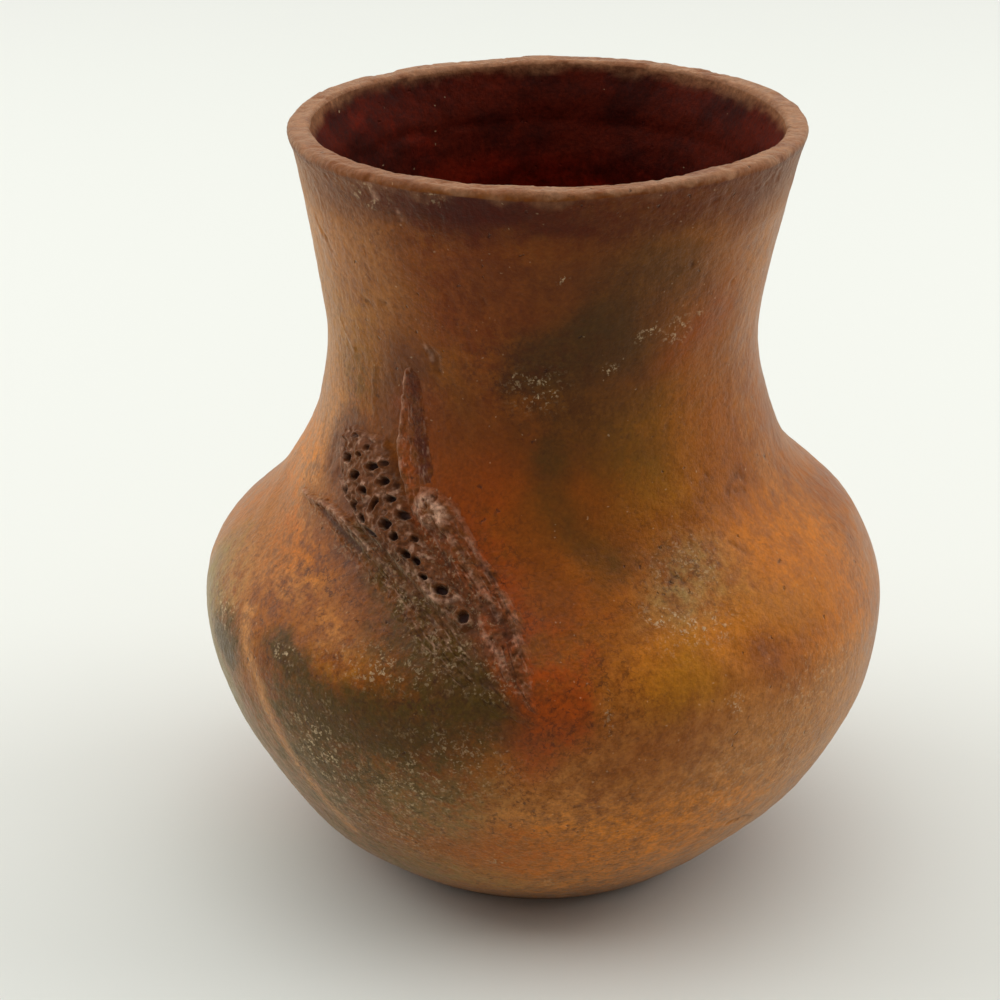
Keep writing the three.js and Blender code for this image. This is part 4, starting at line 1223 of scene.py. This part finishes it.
def clay(name, roughness, bump):
    n = Nodes(name)
    fine = n.noise(1100, 4.0, 0.7)
    mottle = n.noise(300, 8.0, 0.72)
    grit = n.math("MULTIPLY_ADD", n.mask("grit"), 0.65, 0.35)
    soft = n.math("MULTIPLY", n.ramp(mottle, 0.34, 0.66, -0.45, 0.45), grit)
    colour = n.mix(n.ramp(n.noise(60, 5.0, 0.65), 0.35, 0.65), BASE, linear("884506"))
    for key in COLOURS:
        amount = n.mask(key)
        # The mottling shows most where a colour is half strength
        half = n.math("MULTIPLY", amount, n.math("SUBTRACT", 1.0, amount))
        amount = n.math("ADD", amount, n.math("MULTIPLY", half, n.math("MULTIPLY", soft, 4.0)), clamp=True)
        colour = n.mix(amount, colour, COLOURS[key])
    # Short dark crazes and flecks, in patches
    lines = n.cells(480, warp=0.0014, feature="DISTANCE_TO_EDGE")["Distance"]
    patches = n.ramp(n.noise(42, 3.0, 0.6), 0.4, 0.62)
    broken = n.ramp(n.noise(520, 3.0, 0.6), 0.47, 0.58)
    crazing = n.math("MULTIPLY", n.math("MULTIPLY", n.ramp(lines, 0.13, 0.02), patches), broken)
    colour = n.mix(n.math("MULTIPLY", crazing, n.math("MULTIPLY", grit, 0.7)), colour, FLECK)
    flecks = n.cells(640, warp=0.0012)
    fleck = n.math("MULTIPLY", n.ramp(flecks["Distance"], 0.38, 0.18), n.ramp(value_of(n, flecks, 0), 0.7, 0.84))
    crowd = n.ramp(n.noise(75, 4.0, 0.65), 0.42, 0.62, 0.12, 1.0)
    colour = n.mix(n.math("MULTIPLY", n.math("MULTIPLY", fleck, crowd), n.math("MULTIPLY", grit, 0.8)), colour, FLECK)
    # Pale granules and scuffs, sparse specks that are painted glints, and rubbed crests that are partly painted
    # highlight
    dots = n.cells(1150, warp=0.0014)
    granules = n.math("MULTIPLY", n.ramp(dots["Distance"], 0.58, 0.34), n.ramp(value_of(n, dots, 0), 0.35, 0.6))
    clumps = n.ramp(n.noise(330, 4.0, 0.7), 0.43, 0.56)
    pale = n.math("MULTIPLY", n.mask("scuff"), n.math("MULTIPLY", granules, clumps), clamp=True)
    # Sparse pale specks: painted glints
    glint_cells = n.cells(700, warp=0.0006)
    painted_glint = n.math("MULTIPLY", n.ramp(glint_cells["Distance"], 0.2, 0.08), n.ramp(value_of(n, glint_cells, 0), 0.88, 0.92))
    pale = n.math("MAXIMUM", pale, n.math("MULTIPLY", painted_glint, 0.35))
    colour = n.mix(n.math("MULTIPLY", pale, 0.95), colour, PALE)
    # Pale wear together with painted highlight on crests, rubbed lines and the lip
    wear_and_lit = n.math("MULTIPLY", n.mask("wear_and_highlight"), n.ramp(mottle, 0.36, 0.56, 0.1, 0.9), clamp=True)
    colour = n.mix(wear_and_lit, colour, WORN_AND_LIT)
    # Painted shade in holes, nicks and creases
    colour = n.mix(n.mask("pit_shade"), colour, PIT_SHADE)
    # The colour is darkened and lightened with the fine grain that the bump partly follows: painted light and shade on
    # the grain
    grain = n.math("ADD", n.math("MULTIPLY", fine, 0.5), n.math("MULTIPLY", mottle, 0.5))
    shade = n.math("MULTIPLY_ADD", n.ramp(grain, 0.34, 0.66, -0.42, 0.44), n.math("MULTIPLY_ADD", grit, 0.7, 0.3), 1.0)
    grey = n.add("ShaderNodeCombineColor", {0: shade, 1: shade, 2: shade}).outputs[0]
    colour = n.mix(1.0, colour, grey, "MULTIPLY")
    normal, hole = grain_relief(n, fine, bump)
    # Painted shade in the small holes of the bump
    colour = n.mix(n.math("MULTIPLY", hole, 0.6), colour, PIT_SHADE)
    rough = n.ramp(mottle, 0.3, 0.7, roughness - 0.08, roughness + 0.12)
    rough = n.math("ADD", rough, n.math("MULTIPLY", n.mask("lip"), 0.1), clamp=True)
    rough = n.math("ADD", rough, n.math("MULTIPLY", n.mask("scuff"), 0.12), clamp=True)
    n.surface(colour, rough, normal, 0.12, 0.26)
    return n.material


def hollow(name):
    """The smoked inside of the vessel, dull and dark red"""
    n = Nodes(name)
    fine = n.noise(900, 4.0, 0.7)
    # The lighter red low inside is partly painted light bounced inside the vessel
    colour = n.mix(n.mask("deep"), HOLLOW, HOLLOW_DEEP)
    colour = n.mix(n.math("MULTIPLY", n.ramp(n.noise(70, 5.0, 0.65), 0.4, 0.62), 0.7), colour, linear("260a06"))
    colour = n.mix(n.ramp(n.noise(34, 4.0, 0.6), 0.55, 0.75, 0.0, 0.6), colour, linear("80200a"))
    # Sparse pale specks: painted glints
    glint_cells = n.cells(420, warp=0.0006)
    painted_glint = n.math("MULTIPLY", n.ramp(glint_cells["Distance"], 0.14, 0.05), n.ramp(value_of(n, glint_cells, 0), 0.93, 0.95))
    colour = n.mix(n.math("MULTIPLY", painted_glint, 0.5), colour, PALE)
    colour = n.mix(n.mask("lip"), colour, COLOURS["lip"])
    # Painted light and shade: the colour darkens and lightens with the same grain as the bump
    shade = n.ramp(fine, 0.3, 0.7, 0.7, 1.3)
    grey = n.add("ShaderNodeCombineColor", {0: shade, 1: shade, 2: shade}).outputs[0]
    colour = n.mix(1.0, colour, grey, "MULTIPLY")
    normal = grain_relief(n, fine, 0.6)[0]
    n.surface(colour, n.ramp(fine, 0.3, 0.7, 0.5, 0.7), normal, 0.04)
    return n.material


BURNISHED = clay("burnished_clay", 0.38, 0.6)
SMOKED = clay("smoked_rim", 0.46, 0.7)
PUNCHED = clay("punched_relief", 0.5, 0.8)
HOLLOWED = hollow("smoked_hollow")

# The vessel's pieces
inner_row_of = {}
for k, joint in enumerate(JOINTS):
    inner_row_of[k] = INNER_AT + int(np.argmin(np.abs(INNER_LEVELS - joint)))


def vessel():
    last = len(JOINTS) - 2
    dish_top = OUTER_AT + OUTER_MARKS[1]
    rows = list(range(0, dish_top + 1)) + list(range(inner_row_of[1], len(sheet)))
    ring_piece("foot_dish", rows, {dish_top: 1}, BURNISHED,
               poles=[(0, (0, 0, 0), -1), (len(rows) - 1, (0, 0, float(sheet[-1, :, 2].mean())), 1)])
    names = [f"body_coil_{i + 1}" for i in range(BODY_COILS)] + [f"neck_coil_{i + 1}" for i in range(NECK_COILS)]
    for k, name in enumerate(names, 1):
        low, high = OUTER_AT + OUTER_MARKS[k], OUTER_AT + OUTER_MARKS[k + 1]
        outside = list(range(low, high + 1))
        inside = list(range(inner_row_of[k + 1], inner_row_of[k] + 1))
        rows = outside + inside
        ring_piece(name, rows, {len(outside) - 1: 1, len(rows) - 1: -1}, BURNISHED)
    low = OUTER_AT + OUTER_MARKS[last]
    rows = list(range(low, inner_row_of[last] + 1))
    ring_piece("rim_coil", rows, {len(rows) - 1: -1}, SMOKED)


vessel()
ear_pieces(PUNCHED)


# Stage, lights and camera

ROOM_LIGHT = 0.14
ROOM_SEEN = 0.86
ROOM_COLOUR = (1, 0.99, 0.96, 1)

def lamp(name, kind, power, at, aim, **settings):
    data = bpy.data.lights.new(name, kind)
    data.energy = power
    for key, value in settings.items():
        setattr(data, key, value)
    holder = bpy.data.objects.new(name, data)
    bpy.context.scene.collection.objects.link(holder)
    holder.location = at
    direction = np.array(aim, float) - np.array(at, float)
    holder.rotation_euler = Vector(direction).to_track_quat("-Z", "Y").to_euler()
    return holder


def stage():
    mesh = bpy.data.meshes.new("floor")
    side = 4.0
    mesh.from_pydata([(-side, -side, 0), (side, -side, 0), (side, side, 0), (-side, side, 0)], [], [(0, 1, 2, 3)])
    n = Nodes("pale_floor")
    # Far from the vase, beyond the lamps' reach, the floor fades into the pale room
    near = n.add("ShaderNodeBsdfPrincipled", {"Base Color": linear("e5e7e0"), "Roughness": 0.5,
                                              "Specular IOR Level": 0.0}).outputs[0]
    far = n.add("ShaderNodeEmission", {"Color": ROOM_COLOUR, "Strength": ROOM_SEEN}).outputs[0]
    spot = n.add("ShaderNodeTexCoord").outputs["Object"]
    distance = n.add("ShaderNodeVectorMath", {0: spot}, operation="LENGTH").outputs["Value"]
    fade = n.math("MULTIPLY", n.ramp(distance, 0.7, 1.35), n.add("ShaderNodeLightPath").outputs["Is Camera Ray"])
    shader = n.add("ShaderNodeMixShader", {0: fade, 1: near, 2: far})
    n.add("ShaderNodeOutputMaterial", {"Surface": shader.outputs[0]})
    mesh.materials.append(n.material)
    floor = bpy.data.objects.new("floor", mesh)
    bpy.context.scene.collection.objects.link(floor)
    lamp("overhead", "AREA", 49, (0, 0.5, 1.9), (0, 0.3, 0), shape="SQUARE", size=3.2)
    lamp("left_window", "AREA", 8.5, (-1.3, 0.25, 0.75), (0, 0, 0.08), shape="SQUARE", size=1.0)
    lamp("right_window", "AREA", 8.5, (1.3, 0.25, 0.75), (0, 0, 0.08), shape="SQUARE", size=1.0)
    # The room lights the vase softly, and shows pale behind it and in its gloss
    world = bpy.data.worlds.new("room")
    bpy.context.scene.world = world
    world.use_nodes = True
    nodes, links = world.node_tree.nodes, world.node_tree.links
    rays, seen, strength = (nodes.new(kind) for kind in ("ShaderNodeLightPath", "ShaderNodeMath", "ShaderNodeMapRange"))
    seen.operation = "MAXIMUM"
    links.new(rays.outputs["Is Camera Ray"], seen.inputs[0])
    links.new(rays.outputs["Is Glossy Ray"], seen.inputs[1])
    links.new(seen.outputs[0], strength.inputs["Value"])
    strength.inputs["To Min"].default_value = ROOM_LIGHT
    strength.inputs["To Max"].default_value = ROOM_SEEN
    links.new(strength.outputs["Result"], nodes["Background"].inputs["Strength"])
    nodes["Background"].inputs["Color"].default_value = ROOM_COLOUR


def camera():
    data = bpy.data.cameras.new("camera")
    data.sensor_width = 36
    data.lens = 99.5
    holder = bpy.data.objects.new("camera", data)
    bpy.context.scene.collection.objects.link(holder)
    holder.location = (0, -0.6, 0.3551)
    holder.rotation_euler = (math.radians(90 - 24.16), 0, math.radians(0.96))
    data.clip_start, data.clip_end = 0.01, 20
    bpy.context.scene.camera = holder


stage()
camera()
bpy.context.scene.view_settings.view_transform = "Standard"
